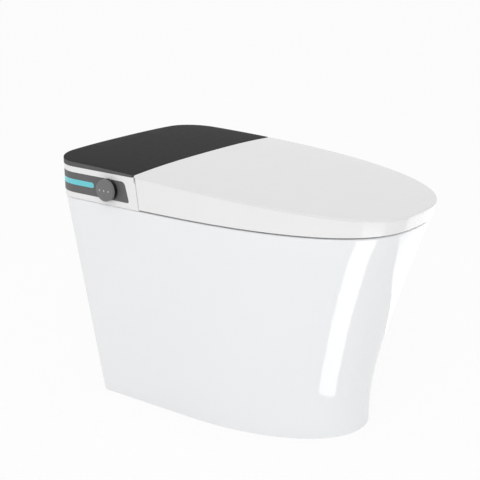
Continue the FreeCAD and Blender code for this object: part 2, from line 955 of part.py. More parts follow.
def pan_outline(height, inset=0.0):
    """The pan's plan outline at a height: it tapers to the floor and flares at the nose."""
    share = height / RIM.value

    def mixed(foot, rim):
        return foot + (rim - foot) * share

    rise = (height - S.flare_height.value) / (RIM.value - S.flare_height.value)
    foot_nose = -S.foot_nose.value
    rim_nose = NOSE.value + S.rim_nose_inset.value
    nose = foot_nose + (rim_nose - foot_nose) * max(0.0, rise) ** S.flare_power.value
    half = mixed(S.foot_width.value / 2, HALF_WIDTH.value - S.rim_side_inset.value)
    rear = mixed(S.foot_rear.value, REAR.value - S.rim_side_inset.value)
    corner = mixed(S.foot_corner.value, S.rear_corner.value - S.rim_side_inset.value)
    return outline(half - inset, rear - inset, max(corner - inset, S.pan_inner_corner.value),
                   mixed(S.foot_nose_start.value, S.nose_start.value), nose + inset,
                   mixed(S.foot_power.value, S.nose_power.value), height)


def pan_block(bottom, top, inset=0.0):
    stations = 7
    heights = [bottom + (top - bottom) * step / stations for step in range(stations + 1)]
    return Part.makeLoft([pan_outline(height, inset) for height in heights], True, False)


def bowl_block(grown, top):
    """The bowl as ellipses that shrink from the rim to the sump."""
    rim = RIM.value
    depth = rim - S.bowl_floor.value + grown

    def shrunk(first, last, share, power):
        return first - (first - last) * share ** float(power)

    sections = [ellipse_section(S.bowl_half_width.value + grown, -S.bowl_front.value - grown,
                                S.bowl_rear.value + grown, top)]
    for share in (0.06, 0.2, 0.36, 0.52, 0.68, 0.84, 1.0):
        half = shrunk(S.bowl_half_width.value, S.sump_half_width.value, share, S.bowl_side_power)
        rear = shrunk(S.bowl_rear.value, -S.sump_rear.value, share, S.bowl_rear_power)
        front = shrunk(-S.bowl_front.value, -S.sump_front.value, share, S.bowl_front_power)
        sections.append(ellipse_section(half + grown, front - grown, rear + grown,
                                        rim - depth * share))
    return Part.makeLoft(sections, True, False)


def bowl_opening():
    """The bowl's inside, from above the rim down."""
    return bowl_block(0.0, RIM.value + BOWL_START)


def trap_points(below):
    """Centre line of the waste way: up over the weir, then down and forward to the outlet."""
    drop = S.trap_drop_y.value
    return [Vector(0, -(S.sump_front.value + S.sump_rear.value) / 2,
                   (S.bowl_floor + S.trap_mouth_rise).value),
            Vector(0, S.weir_y.value, S.weir_height.value),
            Vector(0, drop, S.weir_height.value),
            Vector(0, drop, S.trap_turn_height.value),
            Vector(0, 0, S.trap_foot_height.value),
            Vector(0, 0, -below)]


def trap_bore():
    return tube(trap_points(PAST), S.trap_bore, S.trap_bend)


def deck_underside():
    return RIM - S.deck_thickness


def notch_opening():
    """The recess between the bowl and the unit, open at the rear."""
    half = S.notch_half_width
    return slab((-half, half), (S.notch_front - PAST, S.notch_rear + S.bowl_wall + PAST),
                (S.notch_floor, RIM + PAST))


def ceramic_pan():
    """Skirt and deck of the fired pan, with the openings for the bowl and the unit."""
    rim = RIM.value
    outer = pan_block(0.0, rim)
    rim_edges = [edge for edge in outer.Edges if edge.BoundBox.ZMin > rim - NEAR]
    outer = outer.makeFillet(S.rim_round.value, rim_edges)
    hollow = pan_block(HOLLOW_START, deck_underside().value, S.pan_wall.value)
    openings = [bowl_opening(), notch_opening(),
                slab((-S.deck_hole_half_width, S.deck_hole_half_width),
                     (S.notch_rear, S.deck_hole_rear), (S.notch_floor, RIM + PAST))]
    for side in (-1, 1):
        for y in bolt_rows():
            spot = Vector(side * S.bolt_x.value, y.value, deck_underside().value - PAST)
            openings.append(cylinder(S.bolt_radius + S.bolt_clearance, spot,
                                     spot + Vector(0, 0, TALL)))
    return feature("CeramicPan", outer.cut(hollow).cut(openings).removeSplitter())


def ceramic_bowl():
    """Bowl of the fired pan under the deck, with the tray behind it for the wash unit."""
    wall = S.bowl_wall
    side = S.notch_half_width + wall
    bowl = bowl_block(wall.value, RIM.value)
    tray = slab((-side, side), (S.notch_front, S.notch_rear + wall), (S.notch_floor - wall, RIM))
    solid = bowl.fuse(tray).common(slab((-BIG, BIG), (-BIG, BIG), (0, deck_underside())))
    jet = jet_place()
    reach = Vector(0, JET_REACH, 0)
    jet_hole = cylinder(S.hose_radius - S.hose_wall, jet - reach, jet + reach)
    return feature("CeramicBowl", solid.cut([bowl_opening(), notch_opening(), jet_hole,
                                             trap_bore()]).removeSplitter())


def ceramic_trapway():
    """Trapway of the fired pan, from the bowl's wall to the horn at the floor."""
    foot = Vector(0, 0, 0)
    way = tube(trap_points(0.0), S.trap_bore + S.trap_wall, S.trap_bend)
    horn = cylinder(S.outlet_horn, foot, Vector(0, 0, S.outlet_horn_length.value))
    neck = cylinder(outlet_neck(), foot, Vector(0, 0, S.outlet_neck_height.value))
    outside = bowl_block(S.bowl_wall.value, RIM.value)
    return feature("CeramicTrapway",
                   way.fuse([horn, neck]).cut([trap_bore(), outside]).removeSplitter())


def outlet_neck():
    return S.outlet_horn - S.outlet_neck_step


def bolt_rows():
    return (S.bolt_front_y, S.bolt_front_y + S.bolt_pitch)


def outlet_seal():
    top = S.seal_bottom + S.seal_height
    outer = rod("SealOuter", "z", S.outlet_horn + S.seal_width, S.seal_bottom, top, (0, 0))
    inner = rod("SealInner", "z", outlet_neck() + S.running_fit, 0, top + PAST, (0, 0))
    return cut("OutletSeal", outer, [inner])


def deck_gasket():
    inset = SHELL_INNER.value
    ring = extruded(body_outline(inset, inset, RIM), S.unit_gap)
    hole = extruded(body_outline(inset + S.gasket_width.value, inset, RIM), S.unit_gap)
    front = slab((-BIG, BIG), (S.front_wall_rear + S.base_gap, BIG), (0, BIG))
    return feature("DeckGasket", ring.cut(hole).common(front))


# ---------------------------------------------------------------- unit casing

def unit_outline_block(inset, bottom, top):
    """The rear part of the body's outline between two heights."""
    return extruded(body_outline(inset, inset, bottom), float(top) - float(bottom))


def front_pocket(bottom, top):
    """The room in front of the shell's front wall, between its two flanks."""
    flank = HALF_WIDTH.value - SHELL_INNER.value
    return slab((-flank, flank), (-BIG, FRONT_WALL_FACE), (bottom - PAST, top + TALL))


def panel_region(across, gap=0.0):
    """Side view of the dark panel: a leaning front end with round corners."""
    corners = [(S.panel_front_bottom.value - gap, S.panel_bottom.value - gap),
               (S.panel_end.value + gap, S.panel_bottom.value - gap),
               (S.panel_end.value + gap, S.panel_top.value + gap),
               (S.panel_front_top.value - gap, S.panel_top.value + gap)]
    rear = S.panel_rear_corner
    return side_prism(corners, across, (S.panel_low_corner, rear, rear, S.panel_high_corner))


STRIP_END_FLAT = 0.05                # left between the two arcs of the strip's round end


def strip_region(across, gap=0.0):
    """Side view of the light strip: a bar with a round front end and an eased rear end."""
    bottom = S.strip_bottom.value - gap
    top = S.strip_top.value + gap
    corners = [(S.strip_front.value - gap, bottom), (S.strip_end.value + gap, bottom),
               (S.strip_end.value + gap, top), (S.strip_front.value - gap, top)]
    radius = (top - bottom) / 2 - STRIP_END_FLAT
    rear = radius * S.strip_rear_ease.value
    return side_prism(corners, across, (radius, rear, rear, radius))


def panel_side():
    """From outside the body to the start of its straight rear face."""
    return (-HALF_WIDTH - PAST, -HALF_WIDTH + S.rear_corner)


def knob_well():
    """Round hole through the casing's side for the knob's rotor."""
    return cylinder(S.knob_rotor_radius + S.knob_hole_gap,
                    Vector(-BIG, S.knob_y.value, S.knob_height.value),
                    Vector(0, S.knob_y.value, S.knob_height.value))


def skin_band(outer_inset, inner_inset):
    """A thin band that follows the body's outline."""
    bottom = SHELL_BOTTOM.value
    top = S.shell_top.value
    outer = unit_outline_block(outer_inset, bottom, top)
    return outer.cut(unit_outline_block(inner_inset, bottom, top))


def unit_shell():
    """White wall round the unit, with a front wall behind the lid and two flanks."""
    outer = unit_outline_block(S.shell_inset, SHELL_BOTTOM, S.shell_top)
    shell = outer.common(behind_join(S.join_gap))
    inner = unit_outline_block(SHELL_INNER, SHELL_BOTTOM - PAST, S.shell_top + PAST)
    inner = inner.common(slab((-BIG, BIG), (S.front_wall_rear, BIG), (0, BIG)))
    cutters = [inner, front_pocket(SHELL_BOTTOM, S.shell_top),
               hinge_rod(S.side_relief, -BIG, BIG)]
    through = (0, S.front_wall_rear + PAST)
    tongue = S.tongue_half_width + S.base_gap
    cutters.append(slab((-tongue, tongue), through, (0, BASE_TOP + S.base_gap)))
    half_slot = cradle_half_width() + S.base_gap
    cutters.append(slab((-half_slot, half_slot), through, (0, BASE_TOP + S.nozzle_slot_rise)))
    recess = skin_band(-PAST, S.shell_inset + S.panel_depth + S.panel_fit)
    cutters.append(recess.common(panel_region(panel_side(), S.panel_fit.value)))
    straight = slab((-BIG, 0), (S.strip_front, REAR - S.rear_corner), (0, BIG))
    cutters.append(strip_region(panel_side(), -S.strip_ledge.value).common(straight))
    cutters.append(knob_well())
    for x, radius in ((S.inlet_x, inlet_shoulder_radius()), (-S.gland_x, S.gland_radius)):
        start = Vector(x.value, (REAR - S.rear_corner).value, S.inlet_height.value)
        cutters.append(cylinder(radius + S.running_fit, start,
                                start + Vector(0, S.rear_corner.value + PAST, 0)))
    return feature("UnitShell", shell.cut(cutters))


def top_cover():
    """Dark crowned cover over the unit, hollow below, with a front edge that clears the lid."""
    bottom = S.shell_top + S.cover_gap
    outer = extruded(body_outline(0, 0, bottom), TALL).cut(above_skin())
    front = JOIN + S.join_gap
    outer = outer.common(slab((-BIG, BIG), (front, BIG), (0, BIG)))
    top_edges = [edge for edge in outer.Edges if edge.BoundBox.ZMin > bottom.value + NEAR
                 and edge.BoundBox.YMax > front.value + NEAR]
    outer = outer.makeFillet(S.cover_round.value, top_edges)
    inner = extruded(body_outline(S.cover_wall, S.cover_wall, bottom - PAST), TALL)
    inner = inner.cut(above_skin(S.cover_wall))
    inner = inner.common(slab((-BIG, BIG), (FRONT_WALL_FACE + S.cover_wall, BIG), (0, BIG)))
    return feature("TopCover", outer.cut([inner, hinge_rod(S.hinge_relief, -BIG, BIG)]))


def side_panel():
    band = skin_band(S.shell_inset - S.panel_proud, S.shell_inset + S.panel_depth)
    panel = band.common(panel_region(panel_side()))
    return feature("SidePanel",
                   panel.cut([strip_region(panel_side(), S.panel_fit.value), knob_well()]))


def light_strip():
    band = skin_band(S.shell_inset - S.panel_proud, S.shell_inset + S.strip_depth)
    return feature("LightStrip", band.common(strip_region(panel_side())))


def light_board():
    """Flat board with its row of light sources behind the strip."""
    face = -HALF_WIDTH + SHELL_INNER + S.board_gap
    middle = (S.strip_bottom + S.strip_top) / 2
    half = S.board_height / 2
    board = block("LightBoardPlate", (face, face + S.board_thickness),
                  (S.strip_front, REAR - S.rear_corner), (middle - half, middle + half))
    lamps = []
    for index in range(int(S.led_count.value)):
        y = S.strip_front + S.led_first + S.led_pitch * index
        lamps.append(block("Lamp%d" % index, (face - S.led_thickness, face), (y, y + S.led_size),
                           (middle - S.led_size / 2, middle + S.led_size / 2)))
    return fuse("LightBoard", [board] + lamps)


def base_plate():
    """Floor of the unit, with a tongue and an apron that reach forward under the seat."""
    inset = SHELL_INNER + S.base_gap
    plate = feature("BaseField", extruded(body_outline(inset, inset, SHELL_BOTTOM), S.base_thickness)
                    .common(slab((-BIG, BIG), (S.front_wall_rear + S.base_gap, BIG), (0, BIG))))
    tongue = block("Tongue", (-S.tongue_half_width, S.tongue_half_width),
                   (S.tongue_front, S.front_wall_rear + PAST), (SHELL_BOTTOM, BASE_TOP))
    side = S.notch_half_width - S.apron_side_gap
    apron_back = APRON_FACE + S.apron_thickness
    apron = block("Apron", (-side, side), (APRON_FACE, apron_back), (S.apron_bottom, BASE_TOP))
    half_slot = cradle_half_width() + S.base_gap
    above = BASE_TOP + PAST
    holes = [block("CradleHole", (-half_slot, half_slot), (0, cradle_clear_y()), (0, above))]
    for sign, name in ((1, "Right"), (-1, "Left")):
        near, far = S.duct_inner - S.base_gap, S.duct_outer + S.base_gap
        across = (near, far) if sign > 0 else (-far, -near)
        holes.append(block(name + "Mouth", across, (0, apron_back + PAST),
                           (S.duct_mouth_bottom - S.base_gap,
                            S.duct_mouth_bottom + S.duct_mouth_height + S.base_gap)))
        holes.append(block(name + "Rise", across, (S.notch_rear, duct_top_y() + S.duct_hole_gap),
                           (0, above)))
    holes.append(rod("PumpHole", "z", S.pump_hole, 0, above, (-S.pump_x, S.pump_y)))
    for side_sign in (-1, 1):
        for row, y in enumerate(bolt_rows()):
            holes.append(rod("BaseBolt%d%d" % (side_sign + 1, row), "z", S.bolt_radius + S.base_gap,
                             0, above, (S.bolt_x * side_sign, y)))
    holes.append(rod("LampHole", "y", S.lamp_radius + S.base_gap, APRON_FACE - PAST,
                     apron_back + PAST, (S.lamp_x, S.lamp_height)))
    opened = cut("BaseOpened", fuse("BaseWhole", [plate, tongue, apron]), holes)
    return fuse("BasePlate", [opened, flap_hangers()])


def cradle_half_width():
    return S.nozzle_pitch / 2 + S.nozzle_radius + S.cradle_wall


def cradle_clear_y():
    """Behind this place the nozzle cradle lies wholly above the base plate."""
    low_corner = S.nozzle_tip_height - S.nozzle_radius - S.cradle_wall
    rise = BASE_TOP + S.cradle_clearance - low_corner
    return S.nozzle_tip_y + rise.value / math.tan(math.radians(S.nozzle_tilt.value))


def mount_bolts():
    """Four bolts with heads on the base plate and nuts under the pan's deck."""
    bolts = []
    for side in (-1, 1):
        for row, y in enumerate(bolt_rows()):
            name = "Bolt%d%d" % (side + 1, row)
            centre = (S.bolt_x * side, y)
            shank = rod(name + "Shank", "z", S.bolt_radius, BASE_TOP - S.bolt_length, BASE_TOP,
                        centre)
            head = rod(name + "Head", "z", S.bolt_head_radius, BASE_TOP,
                       BASE_TOP + S.bolt_head_height, centre)
            nut = rod(name + "Nut", "z", S.bolt_nut_radius, deck_underside() - S.bolt_nut_height,
                      deck_underside(), centre)
            bolts.append(fuse(name, [shank, head, nut]))
    return fuse("MountBolts", bolts)


def cord_gland():
    """Strain relief in the rear wall with a nut inside."""
    wall = REAR - S.shell_inset
    inside = wall - S.shell_wall
    centre = (-S.gland_x, S.inlet_height)
    barrel = rod("GlandBarrel", "y", S.gland_radius, inside - S.gland_inside, wall + S.gland_proud,
                 centre)
    nut = rod("GlandNut", "y", S.gland_radius + S.gland_nut, inside - S.gland_nut_thickness, inside,
              centre)
    bore = rod("GlandBore", "y", S.gland_bore, inside - S.gland_inside - PAST,
               wall + S.gland_proud + PAST, centre)
    return cut("CordGland", fuse("GlandSolid", [barrel, nut]), [bore])


# ---------------------------------------------------------------- control knob

KNOB_TURN = Rotation(Vector(0, 1, 0), -90)      # a body's own +Z comes to point along -X


def knob_cap():
    """Turned cap with a bevelled face, hollow behind, on the spindle."""
    radius = S.knob_radius
    depth = S.knob_depth
    edge, bevel = S.knob_edge, S.knob_bevel
    floor = depth - S.knob_face
    body = turned_body("KnobCap", [
        (S.knob_spindle, floor), (S.knob_spindle, S.knob_stroke), (S.knob_boss, S.knob_stroke),
        (S.knob_boss, floor), (radius - S.knob_wall, floor), (radius - S.knob_wall, 0),
        (radius, 0), (radius, depth - edge), (radius - bevel, depth - bevel),
        (radius - edge, depth), (0, depth), (0, floor)])
    place_body(body, (knob_back_x(), S.knob_y, S.knob_height), KNOB_TURN)
    return body


def knob_back_x():
    """Where the released cap's open rear edge stands."""
    return -HALF_WIDTH - S.knob_clearance - S.knob_stroke


def knob_shaft():
    """Spindle with a flat, pressed into the cap."""
    length = knob_shaft_length()
    body = new_body("KnobShaft")
    round_bar = pad(body, "SpindleRound",
                    circle_sketch(body, "SpindleSection", "XY_Plane", S.knob_spindle), length)
    add_flat(body, round_bar, "Spindle", S.knob_spindle - S.spindle_flat, S.knob_rotor_length)
    start = knob_back_x() - (S.knob_depth - S.knob_face)
    place_body(body, (start + length, S.knob_y, S.knob_height), KNOB_TURN)
    return body


def add_flat(body, bar, name, offset, length):
    """Mill a flat, given from the bar's centre, along the start of a round bar."""
    DOC.recompute()
    far = offset * 4
    section = polygon_sketch(body, name + "Flat", "XY_Plane",
                             [(offset, -far), (far, -far), (far, far), (offset, far)])
    pocket = body.newObject("PartDesign::Pocket", name + "Pocket")
    pocket.Profile = section
    pocket.Reversed = True
    bind(pocket, "Length", length)
    DOC.recompute()
    check_cut(pocket, bar)


def knob_shaft_length():
    """From the cap's floor to the end of the rotor, less the stroke."""
    reach = S.knob_clearance + S.knob_stroke + (S.knob_depth - S.knob_face)
    return reach + SHELL_INNER + S.knob_rotor_length


def check_cut(cutter, before):
    if cutter.Shape.Volume >= before.Shape.Volume - 1e-6:
        raise RuntimeError(cutter.Name + " removes nothing")


def knob_rotor():
    """Sleeve inside the encoder that turns with the spindle, which slides in it."""
    centre = (S.knob_y, S.knob_height)
    start = -HALF_WIDTH + SHELL_INNER - S.rotor_reach
    end = start + S.knob_rotor_length + S.knob_stroke + S.rotor_spare
    sleeve = rod("RotorSleeve", "x", S.knob_rotor_radius, start, end, centre)
    bore = rod("RotorBore", "x", S.knob_spindle + S.running_fit, start - PAST, end + PAST, centre)
    return cut("KnobRotor", sleeve, [bore])


def knob_encoder():
    """Fixed encoder housing round the rotor, with its terminals."""
    y, z = S.knob_y, S.knob_height
    half = S.encoder_size / 2
    face = -HALF_WIDTH + SHELL_INNER
    back = face + S.knob_rotor_length + S.knob_stroke + S.rotor_spare
    case = block("EncoderCase", (face + S.encoder_gap, back), (y - half, y + half),
                 (z - half, z + half))
    bore = rod("EncoderBore", "x", S.knob_rotor_radius + S.running_fit, face - PAST,
               back - S.encoder_back, (y, z))
    pins = []
    thick = S.terminal_width / 2
    for index in (-1, 0, 1):
        middle = y + S.terminal_pitch * index
        pins.append(block("Terminal%d" % (index + 1), (back, back + S.terminal_length),
                          (middle - thick, middle + thick), (z - thick, z + thick)))
    return fuse("KnobEncoder", [cut("EncoderHollow", case, [bore])] + pins)


# ---------------------------------------------------------------- hinge

def hinge_bracket():
    """Plate on the tongue with four towers that carry the two shafts."""
    y = S.hinge_y
    along = (y - S.tower_depth / 2, y + S.tower_back)
    parts = []
    for sign, side in ((-1, "Left"), (1, "Right")):
        inner, outer = S.tower_inner, S.tower_outer + S.tower_width
        across = (inner, outer) if sign > 0 else (-outer, -inner)
        parts.append(block(side + "Foot", across, (y - S.bracket_front, y + S.bracket_back),
                           (BASE_TOP, BASE_TOP + S.bracket_plate)))
        for near, name in ((S.tower_inner, "Inner"), (S.tower_outer, "Outer")):
            far = near + S.tower_width
            place = (near, far) if sign > 0 else (-far, -near)
            label = side + name
            parts.append(block(label + "Web", place, along, (BASE_TOP, S.hinge_height)))
            parts.append(rod(label + "Eye", "x", S.hinge_eye, place[0], place[1],
                             (y, S.hinge_height)))
    saddle_end = S.tower_inner + S.tower_width / 2
    saddle = block("DamperSaddle", (-saddle_end, saddle_end), along,
                   (S.saddle_bottom, S.hinge_height - S.damper_radius - S.damper_gap))
    reach = S.tower_outer + S.tower_width + PAST
    bore = rod("ShaftBore", "x", S.hinge_pin + S.running_fit, -reach, reach, (y, S.hinge_height))
    return cut("HingeBracket", fuse("BracketSolid", parts + [saddle]), [bore])


def damper(name, sign):
    """Rotary damper barrel between the inner towers, bored for its shaft."""
    near, far = S.damper_inner, S.tower_inner
    across = (near, far) if sign > 0 else (-far, -near)
    centre = (S.hinge_y, S.hinge_height)
    barrel = rod(name + "Barrel", "x", S.damper_radius, across[0], across[1], centre)
    grip = S.tower_inner - S.damper_grip
    hole = (grip, far + PAST) if sign > 0 else (-far - PAST, -grip)
    bore = rod(name + "Bore", "x", S.hinge_pin + S.running_fit, hole[0], hole[1], centre)
    return cut(name, barrel, [bore])


def hinge_shaft(name, sign):
    """Shaft from the damper through both towers and both eyes, with a flat in the damper."""
    grip = S.damper_grip - S.shaft_end_gap
    length = S.tower_outer + S.tower_width - S.tower_inner + grip
    body = new_body(name)
    bar = pad(body, name + "Round", circle_sketch(body, name + "Section", "XY_Plane", S.hinge_pin),
              length)
    add_flat(body, bar, name, S.shaft_flat, grip)
    place_body(body, ((S.tower_inner - grip) * sign, S.hinge_y, S.hinge_height),
               Rotation(Vector(0, 1, 0), 90 * sign))
    return body


def shaft_bore():
    """The shafts' bore through the eyes of the lid and the seat."""
    reach = S.tower_outer + S.tower_width
    return hinge_rod(S.hinge_pin + S.running_fit, -reach, reach)


def hinge_lug(inner, width, heel):
    """An eye on the hinge axis joined to a bar that ends in the side view corners given."""
    across = (float(inner), float(inner) + float(width))
    eye = hinge_rod(S.hinge_eye, *across)
    bar = side_prism(heel, across)
    return eye.fuse(bar)


# ---------------------------------------------------------------- lid

SKIRT_LOFT = 80.0                    # height of the block that the skirt is cut from
SKIRT_PAST = 2.0                     # how far the block inside it runs past at both ends


def lid_top():
    """Crowned plate that overhangs the skirt all round."""
    plate = extruded(body_outline(0, 0, S.skirt_bottom), TALL)
    plate = plate.cut(above_skin()).cut(below_skin(S.lid_edge))
    plate = plate.common(slab((-BIG, BIG), (-BIG, JOIN), (0, BIG)))
    rim = [edge for edge in plate.Edges
           if edge.BoundBox.YMin < JOIN.value - NEAR and on_skin(edge)]
    return feature("LidTop", plate.makeFillet(S.lid_round.value, rim))


def on_skin(edge):
    """Whether an edge lies on the top skin."""
    middle = edge.valueAt((edge.FirstParameter + edge.LastParameter) / 2)
    return abs(middle.z - skin_height(middle.x, middle.y)) < SKIN_TOLERANCE


def skirt_block(inset, below=0.0, above=0.0):
    """The lid's flaring side walls as a solid block, drawn in by an inset."""
    bottom = S.skirt_bottom.value
    rise = edge_height(NOSE.value) - bottom
    lean = (S.skirt_nose_inset.value - S.lid_overhang.value) / rise
    wires = []
    for height in (bottom - below, bottom + SKIRT_LOFT + above):
        nose = S.skirt_nose_inset.value - lean * (height - bottom)
        side = S.skirt_side_inset.value + (S.lid_overhang.value - S.skirt_side_inset.value) * min(
            1.0, (height - bottom) / rise)
        wires.append(body_outline(side + inset, nose + inset, height))
    return Part.makeLoft(wires, True, True)


def lid_frame():
    """Skirt, flange and two hinge eyes under the top plate."""
    outer = skirt_block(0.0).cut(behind_join(0)).cut(above_skin(S.lid_edge))
    walls = outer.cut(skirt_block(S.skirt_wall.value, SKIRT_PAST, SKIRT_PAST))
    flange_box = slab((-BIG, BIG), (S.flange_front, S.flange_rear), (0, BIG))
    flange = outer.common(flange_box).cut(below_skin(S.lid_edge + S.lid_flange))
    y, z = S.hinge_y, S.hinge_height
    under_skin = skin_height(S.lid_eye_inner.value, S.flange_rear.value) - S.lid_lug_cover.value
    heel = [(y - S.lug_root, z - S.lug_half), (y - S.lid_lug_top_root, z + S.lid_lug_rise),
            (S.flange_rear - S.lid_lug_reach, under_skin),
            (S.flange_rear - S.lid_lug_toe, z + S.lid_lug_toe_rise)]
    lug = hinge_lug(S.lid_eye_inner, S.lid_eye_width, heel)
    frame = walls.fuse([flange] + on_both_sides(lug))
    return feature("LidFrame", frame.cut(shaft_bore()).cut(above_skin(S.lid_edge)))


def lid_liner():
    """Inner panel that closes the lid from below."""
    inside = skirt_block(S.skirt_wall.value + S.liner_gap.value, SKIRT_PAST)
    liner = inside.cut(above_skin(S.liner_drop)).cut(below_skin(S.liner_drop + S.liner_thickness))
    return feature("LidLiner", liner.common(slab((-BIG, BIG), (-BIG, S.liner_rear), (0, BIG))))


def bumper_spots():
    """Where the four bumpers of the lid and of the seat stand."""
    wide = S.bumper_wide
    narrow = S.bumper_narrow
    return ((wide, S.bumper_rear), (-wide, S.bumper_rear),
            (narrow, S.bumper_front), (-narrow, S.bumper_front))


def lid_bumpers():
    """Four pads on the liner that rest on the seat."""
    pads = []
    for x, y in bumper_spots():
        low = seat_top_height(y.value + S.bumper_radius.value) + S.bumper_gap.value
        high = skin_height(x.value, y.value) - S.liner_drop.value - S.liner_thickness.value
        pads.append(cylinder(S.bumper_radius, Vector(x.value, y.value, low),
                             Vector(x.value, y.value, high)).cut(
            above_skin(S.liner_drop + S.liner_thickness)))
    return feature("LidBumpers", Part.makeCompound(pads))


# ---------------------------------------------------------------- heated seat

def seat_nose():
    return NOSE.value + S.skirt_nose_inset.value + S.skirt_wall.value + S.seat_gap.value


def seat_top_height(y):
    return S.seat_nose_top.value + S.seat_slope.value * (y - seat_nose())


def seat_hole(grown, height):
    return ellipse_section(S.seat_hole_half_width.value + grown,
                           -S.seat_hole_front.value - grown,
                           -S.seat_hole_rear.value + grown, height)


def tilted(shape):
    """Lean a level shape, made at the nose's top height, along the seat's top."""
    shape.rotate(Vector(0, seat_nose(), S.seat_nose_top.value), Vector(1, 0, 0),
                 math.degrees(math.atan(S.seat_slope.value)))
    return shape


SEAT_TALL = 80.0                     # height of the blocks that the seat is cut from
CLEAR_OF_PLAN = 30.0                 # how far the tail's block stands outside the rounded plan


def seat_block(inset, drop, bottom):
    """The seat as a solid ring, drawn in all round and below its top."""
    top = S.seat_nose_top.value
    side = S.skirt_side_inset.value + S.skirt_wall.value + S.seat_gap.value + inset
    nose = seat_nose() - NOSE.value + inset
    plan = extruded(body_outline(side, nose, bottom), SEAT_TALL)
    half = HALF_WIDTH.value - side
    corner = S.seat_rear_corner.value - inset
    rear = S.seat_rear.value - inset
    slant = corner * (1 - math.sqrt(0.5))
    wide = half + CLEAR_OF_PLAN
    front = NOSE.value - CLEAR_OF_PLAN

    def at(x, y):
        return Vector(x, y, bottom)

    tail = extruded(Part.Wire([
        Part.makeLine(at(-wide, front), at(wide, front)),
        Part.makeLine(at(wide, front), at(wide, 0)),
        Part.makeLine(at(wide, 0), at(half, 0)),
        Part.makeLine(at(half, 0), at(half, rear - corner)),
        Part.Arc(at(half, rear - corner), at(half - slant, rear - slant),
                 at(half - corner, rear)).toShape(),
        Part.makeLine(at(half - corner, rear), at(-half + corner, rear)),
        Part.Arc(at(-half + corner, rear), at(-half + slant, rear - slant),
                 at(-half, rear - corner)).toShape(),
        Part.makeLine(at(-half, rear - corner), at(-half, 0)),
        Part.makeLine(at(-half, 0), at(-wide, 0)),
        Part.makeLine(at(-wide, 0), at(-wide, front))]), SEAT_TALL)
    ceiling = tilted(slab((-BIG, BIG), (-BIG, BIG), (top - drop, top - drop + BIG)))
    hole = extruded(seat_hole(inset, bottom - PAST), TALL)
    return plan.common(tail).cut([ceiling, hole])


def dish(drop):
    """Cutter that slopes the seat's top down to its hole."""
    top = S.seat_nose_top.value - drop
    wide = seat_hole(S.seat_dish_width.value, top + S.seat_dish_over.value)
    narrow = seat_hole(-S.seat_dish_under.value, top - S.seat_dish_depth.value)
    return tilted(Part.makeLoft([narrow, wide], True, True))


CAVITY_PAST = 3.0                    # how far the cavity's cutter runs below the seat


def seat_top():
    """Upper shell of the seat with its two hinge eyes."""
    bottom = S.seat_bottom.value
    solid = seat_block(0.0, 0.0, bottom).cut(dish(0.0))
    crest = [edge for edge in solid.Edges
             if edge.BoundBox.ZMin > bottom + S.seat_base_thickness.value and not near_hole(edge)]
    solid = solid.makeFillet(S.seat_round.value, crest)
    wall = S.seat_wall.value
    cavity = seat_block(wall, wall, bottom - CAVITY_PAST).cut(dish(wall))
    y, z = S.hinge_y, S.hinge_height
    high = seat_top_height(S.seat_rear.value) - S.seat_lug_cover.value
    low = seat_top_height(S.seat_rear.value) - S.seat_lug_depth.value
    heel = [(y - S.lug_root, z - S.seat_lug_drop), (y - S.lug_root, z + S.lug_half),
            (lug_front(), high), (lug_front(), low), (S.seat_rear - S.seat_lug_cover, low)]
    lug = hinge_lug(S.seat_eye_inner, S.seat_eye_width, heel)
    shell = solid.cut(cavity).fuse(on_both_sides(lug))
    return feature("SeatTop", shell.cut(shaft_bore()))


def lug_front():
    """Where the seat's hinge lugs begin inside its shell."""
    return S.seat_rear - S.seat_lug_reach


def near_hole(edge):
    """Whether an edge lies on the seat's hole or its sloping surround."""
    middle = edge.valueAt((edge.FirstParameter + edge.LastParameter) / 2)
    centre = -(S.seat_hole_front.value + S.seat_hole_rear.value) / 2
    margin = (S.seat_dish_width + S.seat_dish_under).value
    reach = (S.seat_hole_front.value - S.seat_hole_rear.value) / 2 + margin
    half = S.seat_hole_half_width.value + margin
    return (middle.x / half) ** 2 + ((middle.y - centre) / reach) ** 2 < 1


def seat_base():
    """Lower plate that closes the seat's shell."""
    bottom = S.seat_bottom
    plate = seat_block((S.seat_wall + S.seat_base_fit).value, 0.0, bottom.value)
    return feature("SeatBase", plate.common(
        slab((-BIG, BIG), (-BIG, BIG), (0, bottom + S.seat_base_thickness))))


MAT_PAST = 2.0                       # how far the cutter under the mat runs past its edges


def seat_heater():
    """Thin heating mat under the seat's top."""
    inset = (S.seat_wall + S.heater_inset).value
    drop = S.seat_wall.value
    under = drop + S.heater_mat.value
    bottom = S.seat_bottom.value
    upper = seat_block(inset, drop, bottom).cut(dish(drop))
    lower = seat_block(inset - MAT_PAST, under, bottom - MAT_PAST).cut(dish(under))
    lugs = slab((-BIG, BIG), (lug_front() - S.heater_lug_gap, BIG), (0, BIG))
    return feature("SeatHeater", upper.cut([lower, lugs]))


def seat_thermostat():
    """Thermal cut-out on the mat, at the rear of the seat."""
    y = -S.seat_hole_rear.value + S.thermostat_setback.value
    mat = seat_top_height(y) - S.seat_wall.value - S.heater_mat.value
    step = Vector(0, y, mat - S.thermostat_drop.value)
    disc = cylinder(S.thermostat_radius, step - Vector(0, 0, S.thermostat_height.value), step)
    stem = cylinder(S.thermostat_stem, step, Vector(0, y, mat - S.thermostat_gap.value))
    return feature("SeatThermostat", disc.fuse(stem))


def seat_bumpers():
    """Four pads under the seat that rest on the rim."""
    pads = []
    for index, (x, y) in enumerate(bumper_spots()):
        pads.append(rod("SeatPad%d" % index, "z", S.bumper_radius, RIM + S.bumper_gap,
                        S.seat_bottom, (x, y)))
    return fuse("SeatBumpers", pads)


# ---------------------------------------------------------------- wash nozzles

